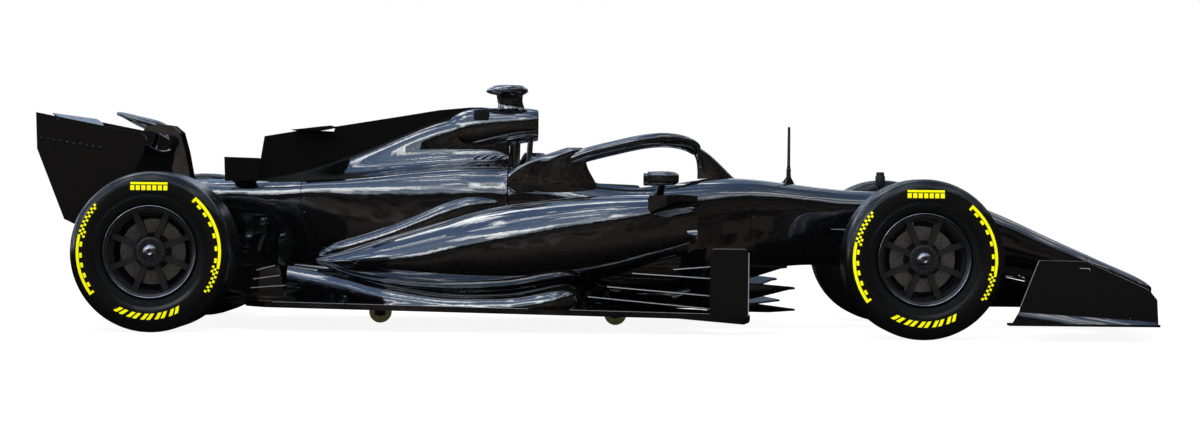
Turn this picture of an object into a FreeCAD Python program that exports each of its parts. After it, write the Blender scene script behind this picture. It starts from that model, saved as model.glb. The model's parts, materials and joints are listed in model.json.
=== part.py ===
"""Open wheel racing car: single seat, cockpit halo, four slick tyres, multi-element wings.

Frame: millimetres, +X forward, +Y to the car's left, +Z up. The origin is on the ground under the
middle of the car's length. Every piece is made as it lies on the real car.
"""
import FreeCAD
import Part
import math
import os

V = FreeCAD.Vector
OUT = "parts"

# Whole car
OVERALL_LENGTH = 4909.0
OVERALL_WIDTH = 1900.0
FRONT_AXLE_X = 1326.0
WHEELBASE = 3220.0
REAR_AXLE_X = FRONT_AXLE_X - WHEELBASE
NOSE_TIP_X = OVERALL_LENGTH / 2
TAIL_X = -OVERALL_LENGTH / 2

# Tyres and rims
TYRE_RADIUS = 335.0
FRONT_TYRE_WIDTH = 290.0
REAR_TYRE_WIDTH = 380.0
BEAD_RADIUS = 184.0
FLANGE_HEIGHT = 10.0
FLANGE_INSET = 26.0
RIM_WALL = 7.0
SPOKE_COUNT = 8
SPOKE_WIDTH = 25.0
SPOKE_DEPTH = 26.0
HUB_RADIUS = 58.0
NUT_RADIUS = 33.0
NUT_TIP_RADIUS = 13.0
AXLE_RADIUS = 26.0
DISC_RADIUS = 139.0
DISC_THICKNESS = 32.0
RUNNING_GAP = 0.05
SEAT_GAP = 0.3
MOVING_GAP = 6.0

# Front uprights and steering
BALL_HEIGHT = 112.0
KINGPIN_RADIUS = 11.0
STEERING_ARM = 100.0
ROD_RADIUS = 9.0
ROD_EYE_RADIUS = 16.0

# Survival cell
CELL_REAR_X = -430.0
BULKHEAD_X = 1560.0
CELL_WALL = 34.0
RIM_Z = 655.0

# Floor
FLOOR_RAKE_DEG = 1.0
FLOOR_THICKNESS = 24.0
FLOOR_BOTTOM = 76.0
FLOOR_HALF_WIDTH = 720.0
FLOOR_FRONT_X = 614.0
FLOOR_REAR_X = -1530.0
PLANK_HALF_WIDTH = 150.0
PLANK_THICKNESS = 10.0

# Transport rollers under the plank
ROLLER_RADIUS = 50.0
ROLLER_WIDTH = 36.0
ROLLER_CLEARANCE = 5.0
ROLLER_X = (49.0, -1007.0)
ROLLER_PIN_RADIUS = 8.0

# Rear wing
REAR_WING_HALF_SPAN = 525.0
REAR_PLATE_THICKNESS = 10.0
FLAP_PIN_RADIUS = 6.0

# Front wing
FRONT_WING_HALF_SPAN = 935.0
FRONT_PLATE_THICKNESS = 9.0


def export(name, solids):
    """Writes one node's solids to its own file."""
    found = []
    for shape in solids if isinstance(solids, (list, tuple)) else [solids]:
        found.extend(shape.Solids)
    if not found:
        raise ValueError(name + " has no solid")
    for solid in found:
        if not solid.isValid() or solid.Volume <= 0:
            print("check", name, solid.isValid(), solid.Volume)
    shape = found[0] if len(found) == 1 else Part.makeCompound(found)
    shape.exportStep(os.path.join(OUT, name + ".step"))
    box = shape.BoundBox
    print(name, len(found), "solids", [round(n) for n in (box.XMin, box.XMax, box.YMin, box.YMax,
                                                          box.ZMin, box.ZMax)])


def mirror(shape):
    """The same shape on the car's other side."""
    return shape.mirror(V(0, 0, 0), V(0, 1, 0))


def both(shape):
    """A shape and its mirror image, as a list of solids."""
    return [shape, mirror(shape)]


def box(x0, x1, y0, y1, z0, z1):
    """A box between two corners."""
    low = V(min(x0, x1), min(y0, y1), min(z0, z1))
    return Part.makeBox(abs(x1 - x0), abs(y1 - y0), abs(z1 - z0), low)


def largest(shape):
    """The biggest solid of a shape, without the crumbs that a cut leaves."""
    return max(shape.Solids, key=lambda s: s.Volume)


def sizeable(shape):
    """The solids of a shape that are more than crumbs."""
    return [s for s in shape.Solids if s.Volume > 4000]


def superellipse(x, half, low, high, power=3.0, centre_y=0.0, mid=0.5, count=10):
    """A closed smooth outline across the car at x, between low and high, as wide as 2 * half."""
    mid_z = low + (high - low) * mid
    points = []
    for i in range(count + 1):
        angle = math.pi * (0.5 - i / count)
        c = abs(math.cos(angle))
        s = math.sin(angle)
        y = half * c ** (2 / power) if 0 < i < count else 0.0
        reach = high - mid_z if s > 0 else mid_z - low
        points.append((y, mid_z + reach * math.copysign(abs(s) ** (2 / power), s)))
    return twin_outline(x, points, centre_y)


def twin_outline(x, half, centre_y=0.0):
    """A closed outline that is the same on both sides: half holds (y, z) from the top down to the foot."""
    if half[-1][0] > 0:
        right = [V(x, centre_y + y, z) for y, z in half]
        left = [V(x, centre_y - y, z) for y, z in reversed(half[1:])]
        curve = Part.BSplineCurve()
        curve.interpolate(Points=left + right)
        return Part.Wire([curve.toShape(), Part.makeLine(right[-1], left[0])])
    edges = []
    for side in (1, -1):
        points = [V(x, centre_y + side * y, z) for y, z in half]
        curve = Part.BSplineCurve()
        curve.interpolate(Points=points, InitialTangent=V(0, side, 0), FinalTangent=V(0, -side, 0))
        edges.append(curve.toShape())
    return Part.Wire(edges)


def closed_spline(points):
    """A smooth closed wire through points."""
    curve = Part.BSplineCurve()
    curve.interpolate(Points=points, PeriodicFlag=True)
    return Part.Wire([curve.toShape()])


def loft(wires):
    """A solid through closed wires."""
    return Part.makeLoft(wires, True, False)


def polygon_prism(points, direction):
    """A flat outline pushed along a direction."""
    wire = Part.makePolygon(list(points) + [points[0]])
    return Part.Face(wire).extrude(direction)


def side_plate(outline, y0, y1):
    """A plate standing along the car: its outline is (x, z) pairs, between y0 and y1."""
    points = [V(x, y0, z) for x, z in outline]
    return polygon_prism(points, V(0, y1 - y0, 0))


def flat_plate(outline, z0, z1):
    """A level plate: its outline is (x, y) pairs, between z0 and z1."""
    points = [V(x, y, z0) for x, y in outline]
    return polygon_prism(points, V(0, 0, z1 - z0))


def strut(start, end, chord, thickness):
    """A streamlined bar of oval section between two points, with its chord along the car."""
    start = V(*start)
    end = V(*end)
    along = end - start
    cross = along.normalize().cross(V(1, 0, 0)).normalize()
    along = end - start
    chord_way = cross.cross(along).normalize()
    oval = Part.Ellipse(start + chord_way * (chord / 2), start + cross * (thickness / 2), start)
    return Part.Face(Part.Wire([oval.toShape()])).extrude(along)


def rod(start, end, radius):
    """A round bar between two points."""
    start = V(*start)
    end = V(*end)
    along = end - start
    return Part.makeCylinder(radius, along.Length, start, along)


def airfoil(lead, trail, thickness, camber, y):
    """A wing section at y from its leading point to its trailing point, both (x, z). It bulges downwards,
    for downforce: thickness and camber are shares of the chord."""
    dx = trail[0] - lead[0]
    dz = trail[1] - lead[1]
    chord = math.hypot(dx, dz)
    up = (dz / chord, -dx / chord)
    if up[1] < 0:
        up = (-up[0], -up[1])
    stations = [0.0, 0.02, 0.1, 0.28, 0.52, 0.78, 1.0]
    top = []
    bottom = []
    for s in stations:
        form = 1.4845 * math.sqrt(s) - 0.63 * s - 1.758 * s**2 + 1.4215 * s**3 - 0.5075 * s**4
        half = thickness * chord * form
        half += 0.004 * chord * s + 0.6 * s
        sag = -4 * camber * chord * s * (1 - s)
        for side, row in ((1, top), (-1, bottom)):
            x = lead[0] + dx * s + up[0] * (sag + side * half)
            z = lead[1] + dz * s + up[1] * (sag + side * half)
            row.append(V(x, y, z))
    outline = list(reversed(top)) + bottom[1:]
    curve = Part.BSplineCurve()
    curve.interpolate(Points=outline)
    end = Part.makeLine(outline[-1], outline[0])
    return Part.Wire([curve.toShape(), end])


def ring(profile, centre):
    """A solid of revolution about the wheel's axle line: profile is closed (radius, y) points or edges."""
    if isinstance(profile[0], tuple):
        points = [V(centre[0] + r, centre[1] + y, centre[2]) for r, y in profile]
        wire = Part.makePolygon(points + [points[0]])
    else:
        wire = Part.Wire(profile)
    return Part.Face(wire).revolve(V(*centre), V(0, 1, 0), 360)


# Floor plane: the floor, the plank and the boards on the floor are made level, then leant to the rake
def raked(shape):
    """A shape made level, leant nose down by the rake."""
    leant = shape.copy()
    leant.rotate(V(0, 0, 0), V(0, 1, 0), FLOOR_RAKE_DEG)
    return leant


FLOOR_TOP = FLOOR_BOTTOM + FLOOR_THICKNESS


def below_floor_top():
    """All the space under the floor's upper face, to trim what stands on the floor."""
    return raked(box(-3000, 3000, -1200, 1200, -600, FLOOR_TOP))


# Survival cell: (x, half width, low, high)
CELL_STATIONS = (
    (CELL_REAR_X, 258, 60, 706),
    (-230, 286, 60, 708),
    (-60, 298, 60, 672),
    (120, 296, 62, RIM_Z),
    (380, 276, 90, RIM_Z + 8),
    (600, 240, 214, 668),
    (830, 202, 282, 646),
    (1200, 168, 292, 616),
    (BULKHEAD_X, 148, 300, 572),
)


def cell_outer():
    """The survival cell's outer form."""
    return loft([superellipse(x, w, low, high, 4.2) for x, w, low, high in CELL_STATIONS])


def survival_cell():
    """The tub that holds the driver: a closed box beam, hollow, with its cockpit opening."""
    shell = cell_outer()
    inner = []
    for x, w, low, high in CELL_STATIONS[1:-1]:
        inner.append(superellipse(x, w - CELL_WALL, max(low, 100) + CELL_WALL, high - CELL_WALL, 4.0))
    shell = shell.cut(loft(inner))
    opening = flat_plate(cockpit_outline(), 400, 900)
    shell = shell.cut(opening)
    shell = shell.cut(below_floor_top())
    rod_hole = rod((rod_x(), -400, rod_z()), (rod_x(), 400, rod_z()), ROD_RADIUS + RUNNING_GAP)
    shell = shell.cut(rod_hole).cut(roller_slot(ROLLER_X[0]))
    return largest(shell)


def cockpit_outline():
    """The cockpit's opening seen from above: wide at the shoulders, narrow at the wheel."""
    right = [(-190, -120), (-150, -190), (-60, -228), (160, -232), (300, -205), (420, -150), (470, -80)]
    left = [(x, -y) for x, y in reversed(right)]
    return right + left


def rod_x():
    """The steering rod's place behind the front axle line."""
    return FRONT_AXLE_X - STEERING_ARM


def rod_z():
    """The steering rod's height: just over the steering arms."""
    return TYRE_RADIUS + 6 + 0.5 + ROD_RADIUS + 1


def nose_cone():
    """The nose from the front bulkhead to its thin tip."""
    stations = (
        (BULKHEAD_X, 148, 300, 572, 4.2),
        (1728, 130, 292, 533, 3.4),
        (1950, 106, 262, 436, 3.0),
        (2174, 82, 214, 338, 2.8),
        (2370, 58, 170, 254, 2.6),
        (NOSE_TIP_X - 14, 38, 164, 214, 2.4),
        (NOSE_TIP_X, 24, 176, 202, 2.2),
    )
    return loft([superellipse(x, w, low, high, p) for x, w, low, high, p in stations])


# Engine cover: x, then the half outline from the spine's top down to the foot as (y, z) pairs
COVER_STATIONS = (
    (CELL_REAR_X - 6, ((0, 840), (50, 826), (66, 770), (98, 722), (190, 704), (256, 610), (262, 380),
                       (256, 60))),
    (-600, ((0, 938), (62, 900), (74, 800), (112, 728), (204, 694), (262, 600), (266, 380), (258, 60))),
    (-705, ((0, 926), (60, 890), (76, 796), (116, 722), (208, 686), (262, 590), (266, 380), (256, 60))),
    (-841, ((0, 880), (54, 850), (76, 770), (120, 706), (206, 674), (254, 580), (258, 370), (248, 60))),
    (-1022, ((0, 802), (44, 780), (74, 724), (122, 680), (196, 652), (232, 560), (236, 370), (226, 80))),
    (-1202, ((0, 732), (36, 716), (72, 684), (118, 658), (172, 634), (198, 550), (200, 390), (188, 130))),
    (-1420, ((0, 668), (30, 662), (66, 650), (104, 640), (136, 618), (154, 550), (154, 430), (140, 250))),
    (-1640, ((0, 642), (26, 640), (56, 634), (84, 623), (104, 600), (114, 545), (112, 460), (98, 370))),
    (-1868, ((0, 636), (20, 634), (40, 628), (58, 616), (68, 596), (72, 550), (70, 500), (58, 450))),
)


def cover_outer():
    """The engine cover's outer form: a thin spine, shoulders, and sides that draw in to the tail."""
    return loft([twin_outline(x, half) for x, half in COVER_STATIONS])


AIRBOX_STATIONS = (
    (-308, 92, 829, 968, 2.6),
    (-330, 96, 825, 972, 2.5),
    (-430, 98, 806, 976, 2.3),
    (-560, 92, 770, 974, 2.2),
    (-700, 60, 800, 932, 2.1),
)


def engine_cover():
    """The shell over the engine, with the round intake over the driver's head."""
    cover = cover_outer()
    airbox = loft([superellipse(x, w, low, high, p) for x, w, low, high, p in AIRBOX_STATIONS])
    cover = cover.fuse(airbox)
    wall = 26
    bay = []
    for x, half in COVER_STATIONS:
        side = half[5][0] - wall
        top = half[4][1] - wall - 24
        start = x + 20 if x == CELL_REAR_X - 6 else x
        start = x - 20 if x == COVER_STATIONS[-1][0] else start
        bay.append(superellipse(start, side, half[-1][1] - 140, top, 4.0))
    cover = cover.cut(loft(bay))
    duct = loft([superellipse(-290, 80, 841, 956, 2.6), superellipse(-400, 82, 830, 960, 2.4),
                 superellipse(-560, 60, 830, 930, 2.2)])
    cover = cover.cut(duct)
    cover = cover.cut(below_floor_top())
    return largest(cover)


def shark_fin():
    """The tall flat fin on the spine, with the step in its top edge."""
    outline = [(-480, 900), (-494, 973), (-560, 977), (-615, 976), (-750, 963), (-930, 932), (-1218, 884),
               (-1224, 862), (-1360, 868), (-1536, 838), (-1552, 740), (-1566, 610), (-1200, 600), (-700,
                                                                                                    850)]
    fin = side_plate(outline, -5, 5)
    return fin


def under_crown(form, x0, x1, half_width):
    """The side view of the space under a form's crown and a seat gap over it, as (x, z) points."""
    crown = []
    x = x0
    while x < x1:
        slab = form.common(box(x, x + 1, 0, half_width, 500, 900))
        crown.append((x, slab.optimalBoundingBox(True).ZMax + SEAT_GAP))
        x += 12
    low = 400
    return crown + [(x1 + 60, crown[-1][1]), (x1 + 60, low), (x0 - 60, low), (x0 - 60, crown[0][1])]


def roll_hoop():
    """The slim legs that carry the intake over the cell's rear."""
    legs = [loft([level_oval(-412, 0, 660, 24, 12), level_oval(-408, 0, 860, 24, 10)])]
    for x0, x1, y in ((-352, -338, 60), (-418, -408, 60)):
        leg = loft([level_oval(x0, y, 660, 13, 9), level_oval(x1, y * 0.8, 860, 11, 8)])
        legs.extend(both(leg))
    hump = loft([level_oval(-302, 0, 690, 98, 84), level_oval(-310, 0, 735, 78, 70),
                 level_oval(-325, 0, 775, 44, 40)])
    return [legs[0].fuse(legs[1:] + [hump])]


def level_oval(x, y, z, half_x, half_y):
    """A level oval at a height."""
    points = []
    for i in range(12):
        angle = math.pi * (i + 0.5) / 6
        points.append(V(x + half_x * math.cos(angle), y + half_y * math.sin(angle), z))
    return closed_spline(points)


# Sidepods: x, inner y, outer y, low, high, power
POD_STATIONS = (
    (404, 150, 640, 372, 588, 4.0),
    (340, 150, 660, 336, 594, 3.8),
    (230, 150, 682, 306, 594, 3.6),
    (60, 150, 700, 250, 590, 3.2),
    (-154, 150, 700, 198, 576, 2.9),
    (-366, 150, 680, 158, 550, 2.7),
    (-536, 150, 640, 142, 520, 2.6),
    (-706, 150, 585, 142, 470, 2.5),
    (-876, 150, 515, 158, 418, 2.4),
    (-1026, 150, 440, 188, 372, 2.3),
    (-1140, 150, 365, 222, 336, 2.2),
    (-1220, 150, 310, 256, 316, 2.1),
    (-1272, 150, 262, 278, 306, 2.0),
)
# The skirt's tail over the floor: x, middle, half width, top
SKIRT_TAIL = ((-1026, 295, 171, 216), (-1150, 252, 130, 238), (-1272, 224, 94, 252), (-1400, 202, 66, 264),
              (-1490, 188, 48, 272))
# The ridge between the sidepod's top and the engine cover's side: x, middle, half width, low, high
SHOULDER = ((CELL_REAR_X - 7, 238, 24, 470, 590), (-540, 240, 50, 450, 580), (-683, 240, 64, 420, 560),
            (-775, 236, 66, 395, 523), (-960, 222, 60, 340, 444), (-1120, 200, 52, 300, 391),
            (-1236, 176, 40, 276, 346), (-1264, 168, 30, 276, 326))


def sidepod():
    """The left sidepod: an inlet in front, a full belly, and a tail that sweeps in over the floor."""
    pod = loft([superellipse(x, (b - a) / 2, low, high, p, (a + b) / 2) for x, a, b, low, high,
                p in POD_STATIONS])
    skirt = [superellipse(20, 110, 20, 200, 2.6, 300), superellipse(-60, 215, 20, 216, 2.6, 380)]
    for x, a, b, low, high, p in POD_STATIONS[4:9]:
        skirt.append(superellipse(x, (b - a) / 2 + 26, 20, low + 34, 2.6, (a + b) / 2))
    for x, middle, half, top in SKIRT_TAIL:
        skirt.append(superellipse(x, half, 20, top, 2.4, middle))
    ridge = loft([superellipse(x, half, low, high, 2.4, middle) for x, middle, half, low, high in SHOULDER])
    pod = pod.fuse([loft(skirt), ridge])
    mouth = [(196, 700), (182, 560), (178, 535), (190, 515), (222, 505), (280, 498), (312, 480), (338, 455),
             (354, 425), (358, 398), (354, 374), (348, 300), (600, 300), (600, 700)]
    pod = pod.cut(side_plate(mouth, 540, 900))
    swept = [(190, 720), (205, 660), (250, 560), (320, 430), (412, 296), (600, 296), (600, 900), (190, 900)]
    pod = pod.cut(flat_plate(swept, 500, 700))
    inlet = loft([superellipse(430, 172, 392, 570, 3.6, 458), superellipse(300, 160, 380, 560, 3.4, 450),
                  superellipse(120, 110, 360, 500, 3.0, 420)])
    pod = pod.cut(inlet)
    split = CELL_REAR_X - 3
    front = pod.common(box(split, 600, 0, 900, 0, 900)).cut(cell_outer())
    rear = pod.common(box(-1400, split, 0, 900, 0, 900)).cut(cover_outer())
    pod = largest(front).fuse(largest(rear)).cut(below_floor_top())
    pod = pod.cut(box(CELL_REAR_X - 7, CELL_REAR_X + 1, 0, 200, 0, 900))
    return largest(pod)


def floor():
    """The flat floor: wide under the sidepods, drawn in ahead of the rear tyres."""
    right = [(FLOOR_FRONT_X, -700), (FLOOR_FRONT_X - 22, -FLOOR_HALF_WIDTH), (-1440, -FLOOR_HALF_WIDTH),
             (FLOOR_REAR_X, -640), (FLOOR_REAR_X, -530), (-1780, -520)]
    front = [(300, 0), (300, -260), (420, -330), (540, -640)]
    outline = right + [(x, -y) for x, y in reversed(right)] + [(x, -y) for x,
                                                               y in reversed(front)] + front[1:]
    plate = raked(flat_plate(outline, FLOOR_BOTTOM, FLOOR_TOP))
    lip = side_plate([(280, 84), (280, 72), (590, 47), (612, 56), (616, 70), (606, 84)], 552, 700)
    return plate.fuse(both(lip))


def plank():
    """The skid plank along the middle of the floor."""
    board = box(-1700, 290, -PLANK_HALF_WIDTH, PLANK_HALF_WIDTH, FLOOR_BOTTOM - PLANK_THICKNESS,
                FLOOR_BOTTOM)
    for x in ROLLER_X:
        board = board.cut(roller_slot(x))
    return raked(board)


def roller_slot(x):
    """The slot through plank and floor for one roller."""
    half = ROLLER_WIDTH / 2 + 10 + SEAT_GAP
    top = 2 * ROLLER_RADIUS + ROLLER_CLEARANCE + MOVING_GAP + 8 + SEAT_GAP
    return box(x - ROLLER_RADIUS - 12, x + ROLLER_RADIUS + 12, -half, half, 0, top)


def diffuser():
    """The ramp behind the floor, with its side walls and strakes, open at the back."""
    start = -1790
    end = -2170
    roof = side_plate([(start, FLOOR_BOTTOM), (end, 262), (end, 270), (start, FLOOR_TOP)], -520, 520)
    pieces = roof
    for y in (-520, -262, 254, 512):
        low = 96 if abs(y) > 500 else 120
        wall = side_plate([(start, FLOOR_BOTTOM), (end, low), (end, 266), (start, FLOOR_TOP - 6)], y, y + 8)
        pieces = pieces.fuse(wall)
    return raked(pieces)


def roller(x):
    """One transport roller's tyre and hub, in its slot under the plank."""
    centre = (x, 0, ROLLER_RADIUS + ROLLER_CLEARANCE)
    half = ROLLER_WIDTH / 2
    r = ROLLER_RADIUS
    profile = [(ROLLER_PIN_RADIUS + RUNNING_GAP, -half), (r - 6, -half), (r, -half + 6), (r, half - 6),
               (r - 6, half), (ROLLER_PIN_RADIUS + RUNNING_GAP, half)]
    return ring(profile, centre)


def roller_bracket(x):
    """The fork and pin that carry one roller in the floor."""
    z = ROLLER_RADIUS + ROLLER_CLEARANCE
    half = ROLLER_WIDTH / 2
    top = z + ROLLER_RADIUS + MOVING_GAP
    fork = box(x - 24, x + 24, -half - 10, half + 10, top, top + 8)
    for side in (-1, 1):
        fork = fork.fuse(box(x - 24, x + 24, side * (half + 2), side * (half + 10), z - 16, top + 8))
    return fork.fuse(rod((x, -half - 10, z), (x, half + 10, z), ROLLER_PIN_RADIUS))


def bargeboards():
    """The left stack ahead of the sidepod: four slats, an upright board and three forward blades."""
    solid = box(436, 600, 640, 646, 60, 300)
    slats = (((249, 272), (448, 289)), ((75, 260), (448, 239)), ((-31, 203), (448, 165)),
             ((-112, 160), (448, 110)))
    for (x0, z0), (x1, z1) in slats:
        edge = [(x0, z0 - 3), (x1, z1 - 3), (x1, z1 + 3), (x0, z0 + 3)]
        slat = side_plate(edge, 560, 690)
        slat = slat.cut(flat_plate([(x0 - 10, 640), (x0 - 10, 700), (x1 - 60, 700)], 0, 400))
        solid = solid.fuse(slat)
    blades = ((236, 292, 776, 622), (143, 213, 813, 580), (80, 128, 821, 485))
    for low, high, tip_x, tip_y in blades:
        lean = (high - low) / 270
        root = [(560, 380), (640, 380), (tip_x - 26, tip_y - 14), (tip_x, tip_y), (tip_x - 8, tip_y + 12),
                (640, 650),
                (560, 650)]
        lower = [V(x, y, low + (y - 380) * lean) for x, y in root]
        solid = solid.fuse(polygon_prism(lower, V(0, 0, 8)))
    return solid


def wing_span(stations, thickness, camber):
    """A wing element through sections: each station is (y, leading point, trailing point)."""
    return loft([airfoil(lead, trail, thickness, camber, y) for y, lead, trail in stations])


def halo():
    """The cockpit halo: a hoop over the driver's head and the blade that carries it in front."""
    path = [(-215, 236, 704), (-120, 250, 757), (0, 256, 791), (120, 250, 820), (240, 226, 837),
            (335, 160, 830),
            (385, 80, 811), (398, 0, 802)]
    points = [V(*p) for p in path]
    points = points + [V(p.x, -p.y, p.z) for p in reversed(points[:-1])]
    curve = Part.BSplineCurve()
    curve.interpolate(Points=points)
    sections = []
    count = 13
    for i in range(count):
        u = curve.FirstParameter + (curve.LastParameter - curve.FirstParameter) * i / (count - 1)
        p = curve.value(u)
        t = curve.tangent(u)[0]
        side = t.cross(V(0, 0, 1)).normalize()
        up = side.cross(t).normalize()
        oval = Part.Ellipse(p + up * 29, p + side * 28, p)
        sections.append(Part.Wire([oval.toShape()]))
    hoop = loft(sections)
    pillar = loft([level_oval(520, 0, 630, 108, 20), level_oval(495, 0, 668, 86, 17),
                   level_oval(462, 0, 730, 54, 15), level_oval(400, 0, 800, 30, 14)])
    foot = loft([level_oval(-225, 250, 600, 198, 26), level_oval(-246, 250, 690, 178, 26),
                 level_oval(-215, 248, 735, 128, 25), level_oval(-172, 247, 770, 82, 24),
                 level_oval(-140, 247, 797, 34, 15)])
    feet = both(foot.common(box(CELL_REAR_X + 1, 0, 200, 300, 600, 800)))
    return hoop.fuse([pillar] + feet)


def camera_pod():
    """The camera housing over the intake: a short wing on a column."""
    column = loft([level_oval(-424, 0, 960, 66, 40), level_oval(-434, 0, 1004, 57, 28),
                   level_oval(-436, 0, 1040, 62, 36)])
    top = loft([level_oval(-440, 0, 1034, 64, 60), level_oval(-449, 0, 1053, 93, 110),
                level_oval(-438, 0, 1076, 64, 80)])
    return column.fuse(top)


def antenna():
    """The slim mast on the cell's top, on its small foot."""
    x = 822
    mast = Part.makeCylinder(8, 50, V(x, 0, 676), V(0, 0, 1))
    mast = mast.fuse(Part.makeCone(5, 3.5, 178, V(x, 0, 726), V(0, 0, 1)))
    foot = loft([level_oval(x - 6, 0, 630, 42, 18), level_oval(x, 0, 676, 12, 10)])
    return foot.fuse(mast)


def nose_post():
    """The small sensor post on the cell's top, ahead of the mast."""
    x = 1234
    stem = box(x - 13, x + 13, -9, 9, 600, 682)
    return stem.fuse(box(x - 17, x + 17, -13, 13, 682, 694)).fuse(box(x - 9, x + 9, -9, 9, 694, 704))


def mirrors():
    """The left mirror: a smooth housing on a stalk from the sidepod's shoulder."""
    housing = loft([superellipse(180, 74, 633, 693, 4.0, 548), superellipse(240, 76, 631, 695, 4.0, 548),
                    superellipse(296, 66, 637, 690, 3.2, 548), superellipse(312, 40, 648, 680, 2.6, 548)])
    stalk = strut((250, 560, 655), (222, 430, 572), 44, 12)
    return housing.fuse(stalk)


def headrest():
    """The padded surround behind and beside the driver's head."""
    outer = [(-186, -112), (-146, -182), (-62, -220), (150, -224), (150, -176), (-20, -168), (-84, -130),
             (-108, 0)]
    outline = outer + [(x, -y) for x, y in reversed(outer[:-1])]
    pad = flat_plate(outline, 560, 700)
    slope = side_plate([(-200, 702), (-110, 700), (-40, 640), (200, 632), (200, 800), (-200, 800)], -300,
                       300)
    return pad.cut(slope)


def seat():
    """The driver's seat: a reclined shell in the tub."""
    outline = [(-180, 560), (-140, 560), (60, 196), (430, 176), (430, 160), (40, 150), (-190, 500)]
    return side_plate(outline, -170, 170)


def handwheel():
    """The steering wheel: a flat grip each side of a centre plate, on its column."""
    x = 372
    z = 566
    plate = box(x - 12, x + 12, -85, 85, z - 50, z + 45)
    solid = plate
    for side in (-1, 1):
        grip = Part.makeBox(30, 34, 120, V(x - 15, side * 102 - 17, z - 62))
        solid = solid.fuse(grip)
    return solid.fuse(rod((x, 0, z), (x + 150, 0, z), 14))


def dash():
    """The dash bulkhead that carries the steering column."""
    plate = loft([superellipse(x, 245, 430, 640, 3.0) for x in (492, 512)])
    return plate.cut(rod((400, 0, 566), (600, 0, 566), 14 + RUNNING_GAP))


def engine_block():
    """The engine as one plain block on the cell's rear face."""
    return box(CELL_REAR_X, -1060, -180, 180, 130, 440)


def gearbox():
    """The gearbox and crash structure behind the engine, down to the tail light."""
    stations = ((-1060, 130, 90, 400, 4.0), (-1500, 100, 90, 400, 4.0), (-1894, 84, 200, 400, 4.0),
                (-2150, 60, 300, 380, 3.0), (-2330, 48, 316, 372, 3.0))
    return loft([superellipse(x, w, low, high, p) for x, w, low, high, p in stations])


def exhaust():
    """The tailpipe under the cover's tail."""
    pipe = rod((-1690, 0, 500), (-1960, 0, 512), 48)
    return pipe.cut(rod((-1700, 0, 500), (-1970, 0, 512), 44))


def tyre(centre, width):
    """A slick tyre: flat tread, round shoulders, bulged walls and beads on the rim."""
    half = width / 2
    r = TYRE_RADIUS
    bead = BEAD_RADIUS + SEAT_GAP
    cx, cy, cz = centre

    def p(radius, y):
        return V(cx + radius, cy + y, cz)

    def arc(a, b, c):
        return Part.Arc(a, b, c).toShape()

    def line(a, b):
        return Part.makeLine(a, b)

    edges = []
    edges.append(line(p(r, -half + 62), p(r, half - 62)))
    edges.append(arc(p(r, half - 62), p(r - 10, half - 24), p(r - 34, half - 4)))
    edges.append(arc(p(r - 34, half - 4), p(r - 70, half), p(r - 106, half - 8)))
    edges.append(arc(p(r - 106, half - 8), p(r - 124, half - 16), p(r - 136, half - 30)))
    edges.append(line(p(r - 136, half - 30), p(r - 139, half - FLANGE_INSET - 12)))
    edges.append(line(p(r - 139, half - FLANGE_INSET - 12), p(bead, half - FLANGE_INSET - 12)))
    edges.append(line(p(bead, half - FLANGE_INSET - 12), p(bead, half - FLANGE_INSET - 34)))
    edges.append(line(p(bead, half - FLANGE_INSET - 34), p(r - 70, half - 22)))
    edges.append(line(p(r - 70, half - 22), p(r - 20, half - 60)))
    edges.append(line(p(r - 20, half - 60), p(r - 20, -half + 60)))
    edges.append(line(p(r - 20, -half + 60), p(r - 70, -half + 22)))
    edges.append(line(p(r - 70, -half + 22), p(bead, -half + FLANGE_INSET + 34)))
    edges.append(line(p(bead, -half + FLANGE_INSET + 34), p(bead, -half + FLANGE_INSET + 12)))
    edges.append(line(p(bead, -half + FLANGE_INSET + 12), p(r - 139, -half + FLANGE_INSET + 12)))
    edges.append(line(p(r - 139, -half + FLANGE_INSET + 12), p(r - 136, -half + 30)))
    edges.append(arc(p(r - 136, -half + 30), p(r - 124, -half + 16), p(r - 106, -half + 8)))
    edges.append(arc(p(r - 106, -half + 8), p(r - 70, -half), p(r - 34, -half + 4)))
    edges.append(arc(p(r - 34, -half + 4), p(r - 10, -half + 24), p(r, -half + 62)))
    return ring(edges, centre)


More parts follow.
